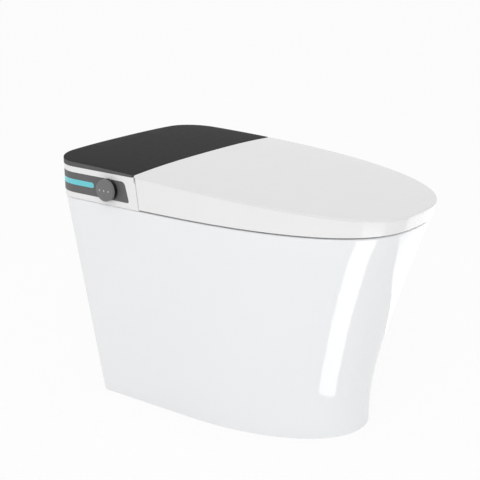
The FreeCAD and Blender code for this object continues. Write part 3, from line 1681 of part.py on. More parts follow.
def tilt_nozzle_part(item):
    """Lean a part made along the nozzles' own axes, whose origin is the parked tip."""
    item.Placement = Placement(Vector(0, S.nozzle_tip_y.value, S.nozzle_tip_height.value),
                               Rotation(Vector(1, 0, 0), S.nozzle_tilt.value))
    bind(item, "Placement.Base.y", S.nozzle_tip_y)
    bind(item, "Placement.Base.z", S.nozzle_tip_height)
    bind(item, "Placement.Rotation.Angle", S.nozzle_tilt)
    return item


def rack_pitch():
    return math.pi * S.rack_module.value


def pinion_place():
    """Above the second gap of the parked rack, so that a tooth points into it."""
    return S.rack_start.value + 2 * rack_pitch()


def rack_shape(centre_x):
    """Toothed strip along the nozzle's top, drawn in side view."""
    module = S.rack_module.value
    pitch = rack_pitch()
    line = S.rack_line.value
    slope = math.tan(math.radians(S.pressure_angle.value))
    half = (pitch / 2 - S.gear_backlash.value) / 2
    start = S.rack_start.value
    end = S.nozzle_length.value
    count = int((end - start - S.rack_end_land.value) / pitch)
    root = line - S.rack_dedendum.value * module
    tip = line + S.rack_addendum.value * module
    foot = half + (line - root) * slope
    crest = half - (tip - line) * slope
    corners = [(start, S.rack_foot), (start, root)]
    for tooth in range(count):
        centre = start + pitch * (tooth + 0.5)
        corners += [(centre - foot, root), (centre - crest, tip), (centre + crest, tip),
                    (centre + foot, root)]
    corners += [(end, root), (end, S.rack_foot)]
    half_width = S.rack_width.value / 2
    return side_prism(corners, (centre_x - half_width, centre_x + half_width))


def nozzle(name, side, holes):
    """Wand with a domed tip, spray holes, a flat spray face and a rack on top."""
    x = S.nozzle_pitch.value / 2 * side
    radius = S.nozzle_radius.value
    end = S.nozzle_length.value
    dome = Part.makeSphere(radius, Vector(x, radius, 0))
    wand = cylinder(radius, Vector(x, radius, 0), Vector(x, end, 0)).fuse([dome, rack_shape(x)])
    face = slab((x - radius, x + radius), (radius, S.spray_flat_end),
                (radius - S.spray_flat, radius + PAST))
    jets = []
    for across, along in holes:
        top = Vector(x + across, S.spray_setback.value + along, radius)
        jets.append(cylinder(S.spray_hole, top - Vector(0, 0, S.spray_depth.value), top))
    bore = cylinder(S.waterway, Vector(x, S.waterway_start.value, 0), Vector(x, end + PAST, 0))
    return tilt_nozzle_part(feature(name, wand.cut([face, bore] + jets)))


def spray_ring(count, radius):
    """Places of spray holes round the middle of the spray face."""
    turns = [2 * math.pi * step / int(count.value) for step in range(int(count.value))]
    return [(radius.value * math.cos(turn), radius.value * math.sin(turn)) for turn in turns]


def nozzle_cradle():
    """Block with two bores and two slots for the racks, open above the pinions."""
    half = cradle_half_width()
    radius = S.nozzle_radius
    length = S.nozzle_length + S.cradle_rear
    room = length - S.cradle_wall
    top = S.rack_line + S.cradle_cover
    body = slab((-half, half), (S.cradle_start, length), (-radius - S.cradle_wall, top))
    slot = S.rack_width / 2 + S.nozzle_fit
    rack_top = S.rack_line + S.rack_addendum * S.rack_module + S.rack_top_gap
    reach = pinion_outer() + S.pinion_clearance.value
    gear = pinion_place()
    cutters = []
    for side in (-1, 1):
        middle = S.nozzle_pitch / 2 * side
        x = middle.value
        cutters.append(cylinder(radius + S.nozzle_fit, Vector(x, 0, 0), Vector(x, room.value, 0)))
        across = (middle - slot, middle + slot)
        cutters.append(slab(across, (0, room), (0, rack_top)))
        cutters.append(slab(across, (gear - reach, gear + reach), (0, top + PAST)))
        cutters.append(cylinder(S.wash_port, Vector(x, room.value - PAST, 0),
                                Vector(x, length.value + PAST, 0)))
        seat = (motor_face() - S.motor_fit.value) * side
        cutters.append(cylinder(S.motor_radius + S.motor_fit, Vector(seat, gear, pinion_height()),
                                Vector(BIG * side, gear, pinion_height())))
    return tilt_nozzle_part(feature("NozzleCradle", body.cut(cutters)))


def pinion_outer():
    return (S.pinion_teeth.value / 2 + S.pinion_addendum.value) * S.rack_module.value


def pinion_height():
    return S.rack_line.value + S.pinion_teeth.value * S.rack_module.value / 2


def involute_flank(base, outer, steps=5):
    """Points of one tooth flank, as (radius, angle) from the base circle outwards."""
    points = []
    for step in range(steps + 1):
        radius = base + (outer - base) * step / steps
        roll = math.sqrt(max(0.0, (radius / base) ** 2 - 1))
        points.append((radius, roll - math.atan(roll)))
    return points


ROOT_LAND = 0.03                     # angle that each tooth's foot is wider than its flank


def pinion(name, side):
    """Small involute gear above the rack, bored for the motor's shaft."""
    module = S.rack_module.value
    teeth = int(S.pinion_teeth.value)
    pressure = math.radians(S.pressure_angle.value)
    pitch_radius = module * teeth / 2
    root = pitch_radius - S.pinion_dedendum.value * module
    roll = math.tan(pressure) - pressure
    thick = (math.pi / 2 - S.gear_backlash.value / module) / teeth
    flank = [(radius, thick + roll - angle) for radius, angle
             in involute_flank(pitch_radius * math.cos(pressure), pinion_outer())]
    foot = flank[0][1] + ROOT_LAND
    one_tooth = [(root, -foot)] + [(radius, -angle) for radius, angle in flank]
    one_tooth += [(radius, angle) for radius, angle in reversed(flank)] + [(root, foot)]
    place = Vector(0, pinion_place(), pinion_height())
    corners = []
    for tooth in range(teeth):
        middle = 2 * math.pi * tooth / teeth - math.pi / 2
        corners += [(place.y + radius * math.cos(middle + angle),
                     place.z + radius * math.sin(middle + angle)) for radius, angle in one_tooth]
    x = S.nozzle_pitch.value / 2 * side
    half = S.pinion_width.value / 2
    gear = side_prism(corners, (x - half, x + half))
    reach = Vector(half + PAST, 0, 0)
    middle = place + Vector(x, 0, 0)
    return tilt_nozzle_part(feature(name, gear.cut(cylinder(S.pinion_bore, middle - reach,
                                                            middle + reach))))


def motor_face():
    """Where each motor's inner face stands from the middle."""
    return S.nozzle_pitch.value / 2 + S.pinion_width.value / 2 + S.motor_gap.value


def nozzle_motors():
    """Two small stepper motors, each with its shaft in a pinion."""
    motors = []
    for side in (-1, 1):
        x = S.nozzle_pitch.value / 2 * side
        face = motor_face() * side
        centre = (pinion_place(), pinion_height())
        far = face + side * S.motor_length.value
        body = cylinder(S.motor_radius, Vector(face, *centre), Vector(far, *centre))
        shaft = cylinder(S.pinion_bore.value - S.running_fit.value,
                         Vector(face, *centre), Vector(x - side * S.pinion_width.value / 2, *centre))
        motors.append(body.fuse(shaft))
    return tilt_nozzle_part(feature("NozzleMotors", Part.makeCompound(motors)))


# ---------------------------------------------------------------- dryer and deodoriser

def duct_top_y():
    return S.notch_rear + S.duct_rise_length


def duct_levels():
    """The level run of a duct: its underside and top, outside."""
    low = BASE_TOP + S.duct_above_base
    return (low, low + S.duct_height)


def duct_run(near, far, end):
    """Level box behind a duct's rise, hollow and open at the front."""
    wall = S.duct_wall
    start = duct_top_y()
    low, high = duct_levels()
    return slab((near, far), (start, end), (low, high)).cut(
        slab((near + wall, far - wall), (start - PAST, end - wall), (low + wall, high - wall)))


def duct_shape(near, far):
    """Rise of a duct from its mouth in the apron up to the unit, as one loft of level sections."""
    mouth = S.duct_mouth_bottom
    stations = [(APRON_FACE + S.duct_mouth_gap, mouth, S.duct_mouth_height),
                (S.notch_rear - S.duct_step_back, mouth + S.duct_step_rise,
                 S.duct_mouth_height + S.duct_step_growth),
                (duct_top_y(), duct_levels()[0], S.duct_height)]

    def loft(grown, ends):
        wires = []
        left, right = near.value + grown, far.value - grown
        for index, (place, bottom, rise) in enumerate(stations):
            y = place.value + ends * (index - 1)
            low, high = bottom.value + grown, (bottom + rise).value - grown
            corners = [Vector(left, y, low), Vector(right, y, low), Vector(right, y, high),
                       Vector(left, y, high)]
            wires.append(Part.makePolygon(corners + [corners[0]]))
        return Part.makeLoft(wires, True, True)

    return loft(0.0, 0.0).cut(loft(S.duct_wall.value, NEAR))


def blower_port_rear():
    return S.blower_y - S.blower_outlet - S.port_setback


def dryer_duct():
    """Duct from the blower's side down to its mouth in the apron."""
    near, far = S.duct_inner, S.duct_outer
    duct = duct_shape(near, far).fuse(duct_run(near, far, S.blower_y - S.blower_outlet))
    rear = blower_port_rear()
    low = duct_levels()[0] + S.port_rise
    port = slab((far - S.duct_wall - PAST, far + PAST), (rear - S.port_width, rear),
                (low, low + S.port_height))
    return feature("DryerDuct", duct.cut(port).removeSplitter())


def blower_low():
    return BASE_TOP + S.blower_lift


def blower_high():
    return blower_low() + S.blower_height


def dryer_housing():
    """Round blower case with a side outlet that meets the duct and an inlet above."""
    wall = S.blower_wall
    foot = Vector(S.blower_x.value, S.blower_y.value, blower_low().value)
    head = Vector(foot.x, foot.y, blower_high().value)
    step = Vector(0, 0, wall.value)
    outer = cylinder(S.blower_radius, foot, head)
    rear = blower_port_rear()
    low, high = blower_low() + S.neck_rise, blower_high() - S.neck_drop
    neck = slab((S.duct_outer + S.port_gap, S.blower_x), (rear - S.neck_width - wall, rear + wall),
                (low - wall, high + wall))
    openings = [cylinder(S.blower_radius - wall, foot + step, head - step),
                slab((S.duct_outer, S.blower_x), (rear - S.neck_width, rear), (low, high)),
                cylinder(S.blower_inlet, head - step * 2, head + step),
                cylinder(S.blower_drain, foot - step, foot + step * 2)]
    return feature("DryerHousing", outer.fuse(neck).cut(openings))


def dryer_impeller():
    """Drum impeller: a back plate, a hub and a ring of upright blades."""
    body = new_body("DryerImpeller")
    pad(body, "ImpellerPlate",
        circle_sketch(body, "PlateSection", "XY_Plane", S.impeller_radius), S.impeller_plate)
    hub_sketch = circle_sketch(body, "HubSection", "XY_Plane", S.impeller_hub)
    pad(body, "ImpellerHub", hub_sketch, S.impeller_hub_height)
    outer = S.impeller_radius - S.impeller_inset
    inner = S.impeller_radius - S.impeller_chord
    half = S.impeller_blade / 2
    lean = S.impeller_lean
    blade_sketch = polygon_sketch(body, "BladeSection", "XY_Plane",
                                  [(inner, -half - lean), (outer, -half + lean),
                                   (outer, half + lean), (inner, half - lean)])
    blade = pad(body, "ImpellerBlade", blade_sketch, S.impeller_height)
    DOC.recompute()
    solid = pattern(body, "ImpellerBlades", blade, S.impeller_blades)
    DOC.recompute()
    bore_sketch = circle_sketch(body, "BoreSection", "XY_Plane", S.motor_spindle)
    bore = body.newObject("PartDesign::Pocket", "ImpellerBore")
    bore.Profile = bore_sketch
    bore.Type = 1
    bore.Reversed = True
    DOC.recompute()
    check_cut(bore, solid)
    place_body(body, (S.blower_x, S.blower_y, impeller_low()), Rotation())
    return body


def impeller_low():
    return blower_low() + S.blower_wall + S.impeller_gap


def dryer_motor():
    """Motor on top of the case, its spindle down through the inlet to the impeller."""
    centre = (S.blower_x, S.blower_y)
    top = blower_high()
    reach = S.blower_radius - S.blower_wall
    half = S.blower_strap_width / 2
    can = rod("DryerMotorCan", "z", S.blower_motor_radius, top + S.blower_motor_gap,
              top + S.blower_motor_height, centre)
    spindle = rod("DryerMotorSpindle", "z", S.motor_spindle - S.running_fit, impeller_low(),
                  top + S.blower_strap / 2, centre)
    strap = block("DryerMotorStrap", (S.blower_x - reach, S.blower_x + reach),
                  (S.blower_y - half, S.blower_y + half), (top, top + S.blower_strap))
    return fuse("DryerMotor", [can, spindle, strap])


def dryer_heater():
    """Frame of flat heating ribs inside the duct."""
    low = duct_levels()[0] + S.duct_wall + S.rib_end_gap
    high = duct_levels()[1] - S.duct_wall - S.rib_end_gap
    near = S.duct_inner + S.duct_wall + S.rib_side_gap
    far = S.duct_outer - S.duct_wall - S.rib_side_gap
    front = duct_top_y() + S.rib_setback
    ribs = [block("RibBar", (near, far), (front, front + S.rib_bar), (low, high))]
    spaces = int(S.rib_count.value) - 1
    for index in range(spaces + 1):
        x = near + (far - near - S.rib_thickness) * (index / spaces)
        ribs.append(block("Rib%d" % index, (x, x + S.rib_thickness), (front, front + S.rib_length),
                          (low, high)))
    window = block("RibWindow", (near + S.rib_side, far - S.rib_side),
                   (front - PAST, front + S.rib_bar * 2), (low + S.rib_frame, high - S.rib_frame))
    return cut("DryerHeater", fuse("RibSolid", ribs), [window])


def flap_centre():
    """The flap's pin, as y and z."""
    return (APRON_FACE - S.flap_gap - S.flap_pin,
            S.duct_mouth_bottom + S.duct_mouth_height + S.flap_pin_rise)


def dryer_flap():
    """Flap that hangs from a pin over the mouth of the dryer's duct."""
    across = (S.duct_inner + S.flap_gap, S.duct_outer - S.flap_gap)
    rear = APRON_FACE - S.flap_gap
    centre = flap_centre()
    plate = block("FlapPlate", across, (rear - S.flap_thickness, rear),
                  (S.duct_mouth_bottom + S.flap_gap, centre[1]))
    pin = rod("FlapPin", "x", S.flap_pin, across[0] - S.flap_pin_end, across[1] + S.flap_pin_end,
              centre)
    return fuse("DryerFlap", [plate, pin])


def flap_hangers():
    """Two small eyes moulded on the apron that carry the flap's pin."""
    y, z = flap_centre()
    near = S.duct_inner + S.flap_gap - S.hanger_gap
    far = S.duct_outer - S.flap_gap + S.hanger_gap
    eyes = []
    for index, across in enumerate(((near - S.hanger_width, near), (far, far + S.hanger_width))):
        name = "Hanger%d" % index
        eyes.append(rod(name + "Eye", "x", S.flap_pin + S.hanger_wall, across[0], across[1], (y, z)))
        eyes.append(block(name + "Foot", across, (y, APRON_FACE),
                          (z - S.hanger_foot, z + S.hanger_foot)))
    reach = S.hanger_width + PAST
    bore = rod("HangerBore", "x", S.flap_pin + S.running_fit, near - reach, far + reach, (y, z))
    return cut("FlapHangers", fuse("HangerSolid", eyes), [bore])


def deodoriser_duct():
    """Duct from its mouth in the apron up to the fan, with a round throat above it."""
    near, far = -S.duct_outer, -S.duct_inner
    duct = duct_shape(near, far).fuse(
        duct_run(near, far, S.deodoriser_y + S.fan_radius + S.fan_margin))
    top = Vector(-S.deodoriser_x.value, S.deodoriser_y.value, duct_levels()[1].value)
    reach = Vector(0, 0, PAST)
    throat = cylinder(S.fan_radius - S.fan_throat, top - reach, top + reach)
    return feature("DeodoriserDuct", duct.cut(throat).removeSplitter())


def deodoriser_cartridge():
    """Carbon block in the duct with round through channels."""
    gap = S.duct_wall + S.cartridge_gap
    low, high = duct_levels()[0] + gap, duct_levels()[1] - gap
    near, far = -S.duct_outer + gap, -S.duct_inner - gap
    front = duct_top_y() + S.duct_wall
    end = front + S.cartridge_length
    brick = block("CarbonBrick", (near, far), (front, end), (low, high))
    columns, rows = int(S.channel_columns.value), int(S.channel_rows.value)
    first_x = near + S.channel_margin
    first_z = (low + high) / 2 - S.channel_row_pitch * ((rows - 1) / 2)
    channels = []
    for column in range(columns):
        for row in range(rows):
            channels.append(rod("Channel%d%d" % (column, row), "y", S.channel_radius, front - PAST,
                                end + PAST, (first_x + S.channel_pitch * column,
                                             first_z + S.channel_row_pitch * row)))
    return cut("DeodoriserCartridge", brick, channels)


def fan_low():
    return duct_levels()[0] + S.duct_wall + S.fan_lift


def deodoriser_fan():
    """Small axial fan: hub and flaring blades."""
    body = new_body("DeodoriserFan")
    pad(body, "FanHub", circle_sketch(body, "FanHubSection", "XY_Plane", S.fan_hub), S.fan_depth)
    root = S.fan_hub - NEAR
    tip = S.fan_radius - S.fan_tip_gap
    narrow, wide = S.fan_root_chord / 2, S.fan_tip_chord / 2
    blade_sketch = polygon_sketch(body, "FanBladeSection", "XY_Plane",
                                  [(root, -narrow), (tip, -wide), (tip, wide), (root, narrow)])
    blade = pad(body, "FanBlade", blade_sketch, S.fan_blade_height)
    DOC.recompute()
    pattern(body, "FanBlades", blade, S.fan_blades)
    DOC.recompute()
    place_body(body, (-S.deodoriser_x, S.deodoriser_y, fan_low()), Rotation())
    return body


def deodoriser_motor():
    """Motor under a spider across the fan's throat."""
    x, y = -S.deodoriser_x, S.deodoriser_y
    top = duct_levels()[1]
    half = S.spider_width / 2
    reach = S.fan_radius
    levels = (top, top + S.spider_thickness)
    can = rod("FanMotorCan", "z", S.fan_hub, fan_low() + S.fan_depth + S.fan_motor_gap,
              top + S.fan_motor_rise, (x, y))
    arms = [block("FanArm0", (x - reach, x + reach), (y - half, y + half), levels),
            block("FanArm1", (x - half, x + half), (y - reach, y + reach), levels)]
    return fuse("DeodoriserMotor", [can] + arms)


# ---------------------------------------------------------------- water, air and power

def inlet_shoulder_radius():
    return S.inlet_thread + S.inlet_shoulder


def inlet_connector():
    """Spigot in the rear wall: a collar inside, a shoulder in the wall and a thread outside."""
    wall = REAR - S.shell_inset
    inside = wall - S.shell_wall
    end = wall + S.inlet_length
    centre = (S.inlet_x, S.inlet_height)
    collar = rod("InletCollar", "y", S.inlet_thread + S.inlet_collar,
                 inside - S.inlet_collar_depth, inside, centre)
    shoulder = rod("InletShoulder", "y", inlet_shoulder_radius(), inside - NEAR, wall, centre)
    relief = rod("InletRelief", "y", S.inlet_thread - S.inlet_relief, inside, end, centre)
    thread = rod("InletThread", "y", S.inlet_thread, wall + S.inlet_relief, end, centre)
    bore = rod("InletBore", "y", S.inlet_bore, inside - S.inlet_collar_depth - PAST, end + PAST,
               centre)
    return cut("InletConnector", fuse("InletSolid", [collar, shoulder, relief, thread]), [bore])


def inlet_filter():
    """Cup strainer inside the spigot."""
    wall = REAR - S.shell_inset
    centre = (S.inlet_x, S.inlet_height)
    radius = S.inlet_bore - S.filter_fit
    cup = rod("StrainerCup", "y", radius, wall, wall + S.filter_length, centre)
    hollow = rod("StrainerHollow", "y", radius - S.filter_wall, wall + S.filter_wall,
                 wall + S.filter_length + PAST, centre)
    return cut("InletFilter", cup, [hollow])


def solenoid_valve():
    """Valve block behind the spigot with its coil and its outlet nose."""
    rear = valve_rear()
    x, z = S.inlet_x, S.inlet_height
    side = x + S.valve_half_width
    body = block("ValveBlock", (x - S.valve_half_width, side), (rear - S.valve_length, rear),
                 (BASE_TOP + S.valve_below, z + S.valve_above))
    coil = rod("ValveCoil", "x", S.coil_radius, side, side + S.coil_length,
               (rear - S.coil_setback, z - S.coil_drop))
    face = x - S.valve_half_width
    nose = rod("ValveNose", "x", S.hose_radius - S.hose_wall, face - S.port_length, face,
               (valve_port()[0], valve_port()[1]))
    return fuse("SolenoidValve", [body, coil, nose])


def valve_rear():
    return REAR - S.shell_inset - S.shell_wall - S.valve_gap


def valve_port():
    """The valve's outlet, as y and z."""
    return (valve_rear() - S.valve_half_width, S.inlet_height - S.port_drop)


HOSE_START_GAP = 0.5                 # hose end to the valve block
SUPPLY_RUN = (50.0, 90.0)            # where the supply hose starts and ends its rise


def supply_hose():
    """Short hose from the valve's nose to the heater."""
    y, z = valve_port()[0].value, valve_port()[1].value
    start = Vector((S.inlet_x - S.valve_half_width).value - HOSE_START_GAP, y, z)
    rise = S.hose_rise.value
    points = [start, start - Vector(SUPPLY_RUN[0], 0, 0), start + Vector(-SUPPLY_RUN[1], 0, rise),
              Vector(heater_box()[0][1] + S.hose_gap.value, y, z + rise)]
    return feature("SupplyHose", hose(points))


def hose(points):
    """A bendy pipe with its bore."""
    outer = tube(points, S.hose_radius, S.hose_bend)
    lead = (points[1] - points[0]).normalize()
    tail = (points[-1] - points[-2]).normalize()
    longer = [points[0] - lead] + points[1:-1] + [points[-1] + tail]
    inner = tube(longer, S.hose_radius - S.hose_wall + S.running_fit, S.hose_bend)
    return outer.cut(inner)


def heater_box():
    """The instant water heater's place on each axis."""
    low = blower_low().value
    return ((-S.heater_outer.value, -S.heater_inner.value),
            (S.heater_front.value, S.heater_rear.value), (low, low + S.heater_height.value))


def instant_heater():
    """Flat tank with rounded upright edges and grooves on top."""
    across, along, up = heater_box()
    tank = slab(across, along, up)
    edges = [edge for edge in tank.Edges if abs(edge.tangentAt(0).z) > 0.9]
    tank = tank.makeFillet(S.heater_corner.value, edges)
    grooves = []
    for index in range(int(S.groove_count.value)):
        x = across[0] + S.groove_first + S.groove_pitch * index
        grooves.append(slab((x, x + S.groove_width), (along[0] - PAST, along[1] + PAST),
                            (up[1] - S.groove_depth, up[1] + PAST)))
    return feature("InstantHeater", tank.cut(grooves))


WARM_STRAIGHT = 20.0                 # straight length at each end of the warm hose


def warm_hose():
    """Hose from the heater's inner side to the diverter."""
    across, along, up = heater_box()
    gap = S.hose_gap.value
    start = Vector(across[1] + gap, S.diverter_y.value, up[0] + S.heater_port.value)
    end = Vector(-S.diverter_width.value / 2 - gap, start.y, start.z + S.hose_rise.value)
    straight = Vector(WARM_STRAIGHT, 0, 0)
    return feature("WarmHose", hose([start, start + straight, end - straight, end]))


def flow_diverter():
    """Round diverter valve with its stepper behind the nozzles."""
    y = S.diverter_y
    low = BASE_TOP + S.diverter_lift
    high = low + S.diverter_height
    half = S.diverter_width / 2
    case = block("DiverterCase", (-half, half),
                 (y - S.diverter_length / 2, y + S.diverter_length / 2), (low, high))
    drum = rod("DiverterDrum", "z", S.diverter_drum, high, high + S.diverter_drum_height, (0, y))
    return fuse("FlowDiverter", [case, drum])


def air_pump():
    """Small diaphragm pump beside the knob's encoder."""
    low = blower_low()
    radius = S.air_pump_radius
    front = S.front_wall_rear + S.air_pump_front
    can = rod("AirPumpCan", "x", radius, -S.air_pump_outer, -S.air_pump_neck,
              (front + radius, low + radius))
    head = block("AirPumpHead", (-S.air_pump_neck, -S.air_pump_inner), (front, front + radius * 2),
                 (low, low + radius * 2))
    return fuse("AirPump", [can, head])


def flush_pump():
    """Upright flush pump hung below the unit in the pan's dry space."""
    centre = (-S.pump_x, S.pump_y)
    top = pump_top()
    can = rod("PumpCan", "z", S.pump_radius, top - S.pump_length, top, centre)
    flange = rod("PumpFlange", "z", S.pump_radius + S.pump_flange, top,
                 SHELL_BOTTOM - S.pump_flange_gap, centre)
    foot = rod("PumpFoot", "z", S.pump_foot_radius, pump_foot(), top - S.pump_length, centre)
    return fuse("FlushPump", [can, flange, foot])


def pump_top():
    return RIM - S.pump_drop


def pump_foot():
    return pump_top() - S.pump_length - S.pump_foot


def flush_hose():
    """Pressure hose from the pump's foot to the jet in the bowl's rear wall."""
    x, y = -S.pump_x.value, S.pump_y.value
    jet = jet_place()
    gap = S.hose_gap.value
    points = [Vector(x, y, pump_foot().value - gap), Vector(x, y, jet.z),
              Vector(jet.x, y - S.flush_run.value, jet.z), jet]
    return feature("FlushHose", hose(points).cut(bowl_block(S.bowl_wall.value + gap, RIM.value)))


def jet_place():
    """A point inside the bowl's rear wall where the flush jet enters."""
    return Vector(-S.jet_x.value, -S.jet_setback.value, S.jet_height.value)


def control_board():
    """Main circuit board on four posts, with its parts and sockets."""
    low = BASE_TOP + S.board_lift
    face = low + S.board_plate
    front = S.diverter_y - S.board_ahead
    half = S.board_width / 2
    margin = S.board_margin
    parts = [block("BoardPlate", (-half, half), (front, front + S.board_length), (low, face))]
    for side in (-1, 1):
        for row, y in enumerate((front + margin, front + S.board_length - margin)):
            parts.append(rod("Post%d%d" % (side + 1, row), "z", S.post_radius, BASE_TOP, low,
                             ((half - margin) * side, y)))
    for index in range(int(S.chip_count.value)):
        x = S.chip_first + S.chip_pitch * index - half
        y = front + S.chip_setback
        parts.append(block("Chip%d" % index, (x, x + S.chip_size), (y, y + S.chip_size),
                           (face, face + S.chip_height)))
    for index in range(int(S.socket_count.value)):
        x = S.socket_first + S.socket_pitch * index
        y = front + S.socket_setback
        parts.append(block("Socket%d" % index, (x, x + S.socket_width), (y, y + S.socket_depth),
                           (face, face + S.socket_height)))
    return fuse("ControlBoard", parts)


def power_supply():
    """Closed supply with its cooling slots."""
    low = blower_low()
    high = low + S.supply_height
    front = S.front_wall_rear + S.supply_front
    rear = front + S.supply_length
    box = block("SupplyBox", (S.supply_inner, S.supply_outer), (front, rear), (low, high))
    slots = []
    for index in range(int(S.slot_count.value)):
        x = S.supply_inner + S.slot_first + S.slot_pitch * index
        slots.append(block("SupplySlot%d" % index, (x, x + S.slot_width),
                           (front + S.slot_margin, rear - S.slot_margin),
                           (high - S.slot_depth, high + PAST)))
    return cut("PowerSupply", box, slots)


def night_light():
    """Small lens in the apron that lights the bowl."""
    centre = (S.lamp_x, S.lamp_height)
    lens = rod("LampLens", "y", S.lamp_radius, APRON_FACE - S.lamp_proud,
               APRON_FACE + S.lamp_length, centre)
    collar = rod("LampCollar", "y", S.lamp_radius + S.lamp_collar, APRON_FACE + S.apron_thickness,
                 APRON_FACE + S.lamp_collar_end, centre)
    return fuse("NightLight", [lens, collar])


# ---------------------------------------------------------------- assembly and files

def build():
    keep(ceramic_pan(), "ceramic_pan")
    keep(ceramic_bowl(), "ceramic_bowl")
    keep(ceramic_trapway(), "ceramic_trapway")
    keep(outlet_seal(), "outlet_seal")
    keep(deck_gasket(), "deck_gasket")
    keep(unit_shell(), "unit_shell")
    keep(top_cover(), "top_cover")
    keep(side_panel(), "side_panel")
    keep(light_strip(), "light_strip")
    keep(light_board(), "light_board")
    keep(base_plate(), "unit_base_plate")
    keep(mount_bolts(), "mount_bolts")
    keep(cord_gland(), "cord_gland")
    keep(knob_cap(), "knob_cap")
    keep(knob_shaft(), "knob_shaft")
    keep(knob_rotor(), "knob_rotor")
    keep(knob_encoder(), "knob_encoder")
    keep(hinge_bracket(), "hinge_bracket")
    keep(damper("SeatDamper", -1), "seat_damper")
    keep(damper("LidDamper", 1), "lid_damper")
    keep(hinge_shaft("SeatHingeShaft", -1), "seat_hinge_shaft")
    keep(hinge_shaft("LidHingeShaft", 1), "lid_hinge_shaft")
    keep(lid_top(), "lid_top")
    keep(lid_frame(), "lid_frame")
    keep(lid_liner(), "lid_liner")
    keep(lid_bumpers(), "lid_bumpers")
    keep(seat_top(), "seat_top")
    keep(seat_base(), "seat_base")
    keep(seat_heater(), "seat_heater")
    keep(seat_thermostat(), "seat_thermostat")
    keep(seat_bumpers(), "seat_bumpers")
    keep(nozzle_cradle(), "nozzle_cradle")
    keep(nozzle("RearNozzle", -1, spray_ring(S.rear_spray_holes, S.rear_spray_ring)), "rear_nozzle")
    front_holes = spray_ring(S.front_spray_holes, S.front_spray_ring) + [(0, 0)]
    keep(nozzle("FrontNozzle", 1, front_holes), "front_nozzle")
    keep(pinion("RearPinion", -1), "rear_pinion")
    keep(pinion("FrontPinion", 1), "front_pinion")
    keep(nozzle_motors(), "nozzle_motors")
    keep(dryer_duct(), "dryer_duct")
    keep(dryer_housing(), "dryer_housing")
    keep(dryer_impeller(), "dryer_impeller")
    keep(dryer_motor(), "dryer_motor")
    keep(dryer_heater(), "dryer_heater")
    keep(dryer_flap(), "dryer_flap")
    keep(deodoriser_duct(), "deodoriser_duct")
    keep(deodoriser_cartridge(), "deodoriser_cartridge")
    keep(deodoriser_fan(), "deodoriser_fan")
    keep(deodoriser_motor(), "deodoriser_motor")
    keep(inlet_connector(), "inlet_connector")
    keep(inlet_filter(), "inlet_filter")
    keep(solenoid_valve(), "solenoid_valve")
    keep(supply_hose(), "supply_hose")
    keep(instant_heater(), "instant_heater")
    keep(warm_hose(), "warm_hose")
    keep(flow_diverter(), "flow_diverter")
    keep(air_pump(), "air_pump")
    keep(flush_pump(), "flush_pump")
    keep(flush_hose(), "flush_hose")
    keep(control_board(), "control_board")
    keep(power_supply(), "power_supply")
    keep(night_light(), "night_light")
    DOC.recompute()


def check():
    """Stop before writing if any object failed or any sub-part isn't a sound solid."""
    for item in DOC.Objects:
        if "Invalid" in item.State or "Error" in item.State:
            raise RuntimeError("%s is %s" % (item.Name, item.State))
    for item in NODES:
        shape = item.Shape
        if shape.isNull() or not shape.isValid() or shape.Volume <= 0:
            raise RuntimeError(item.Label + " has no sound shape")


def write():
    os.makedirs("parts", exist_ok=True)
    for item in NODES:
        item.Shape.exportStep("parts/%s.step" % item.Label)
        print(item.Label, len(item.Shape.Solids), round(item.Shape.Volume / 1000, 2), "cm3")


build()
check()
write()
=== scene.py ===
# %% [markdown]
# # A smart toilet with a heated seat
# The object is a glazed china pan with a wash unit set into its rear deck. A white lid lies over the
# heated seat, and a dark cover closes the unit behind it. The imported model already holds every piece
# at its real size, so this script gives each one its finish and lights the whole like a catalogue
# picture. The shapes need no help from here; what makes them read as china, plastic, rubber and metal
# is colour, gloss and what they mirror.

# %% Load the fixed frame
import math

import bmesh
import bpy
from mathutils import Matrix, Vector

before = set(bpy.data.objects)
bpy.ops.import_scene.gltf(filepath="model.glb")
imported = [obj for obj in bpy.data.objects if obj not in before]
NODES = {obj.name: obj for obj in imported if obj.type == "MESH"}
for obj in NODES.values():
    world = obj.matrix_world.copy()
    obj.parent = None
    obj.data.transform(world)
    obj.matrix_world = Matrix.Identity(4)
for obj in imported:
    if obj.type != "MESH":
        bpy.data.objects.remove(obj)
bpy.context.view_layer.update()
MM = 0.001

# %% [markdown]
# ## Colours and shader nodes
# Colours are picked as sRGB hex values, the way a paint chart or a screen shows them. The shader works
# in linear light, so one function turns every hex value to linear. A second one adds a shader node
# together with its settings and links, which keeps each material below down to a few lines. The same
# nodes could be wired one call at a time, but then the settings would drown in the wiring.


# %% Colour and node helpers
def linear(hex_colour):
    """An sRGB hex value as linear red, green, blue and alpha."""
    parts = [int(hex_colour[start:start + 2], 16) / 255 for start in (1, 3, 5)]
    parts = [part / 12.92 if part <= 0.04045 else ((part + 0.055) / 1.055) ** 2.4 for part in parts]
    return (*parts, 1.0)


def add_node(tree, kind, settings=None, **inputs):
    """Adds a node; an input is a value or another node's output socket."""
    node = tree.nodes.new(kind)
    for name, value in (settings or {}).items():
        setattr(node, name, value)
    for name, value in inputs.items():
        socket = node.inputs[name.replace("_", " ")]
        if isinstance(value, bpy.types.NodeSocket):
            tree.links.new(value, socket)
        else:
            socket.default_value = value
    return node


# %% [markdown]
# ## What all the finishes share
# Moulded plastic, glazed china and drawn metal differ in gloss, but each real surface is a little
# uneven in two ways: its level waves over some millimetres, and its gloss varies from place to place.
# One function makes both from noise in Object coordinates, whose scale is worked out from a real size.
# Object coordinates stay with a piece when it moves, so nothing slides over the lid as it opens.


# %% A principled finish with waves and uneven gloss
CLOUD_WAVES = 9  # the slow change of colour and gloss is this many waves long


def per_mm(size_mm):
    """Noise scale for a pattern that repeats about every size_mm, on a model in metres."""
    return 1 / (size_mm * MM)


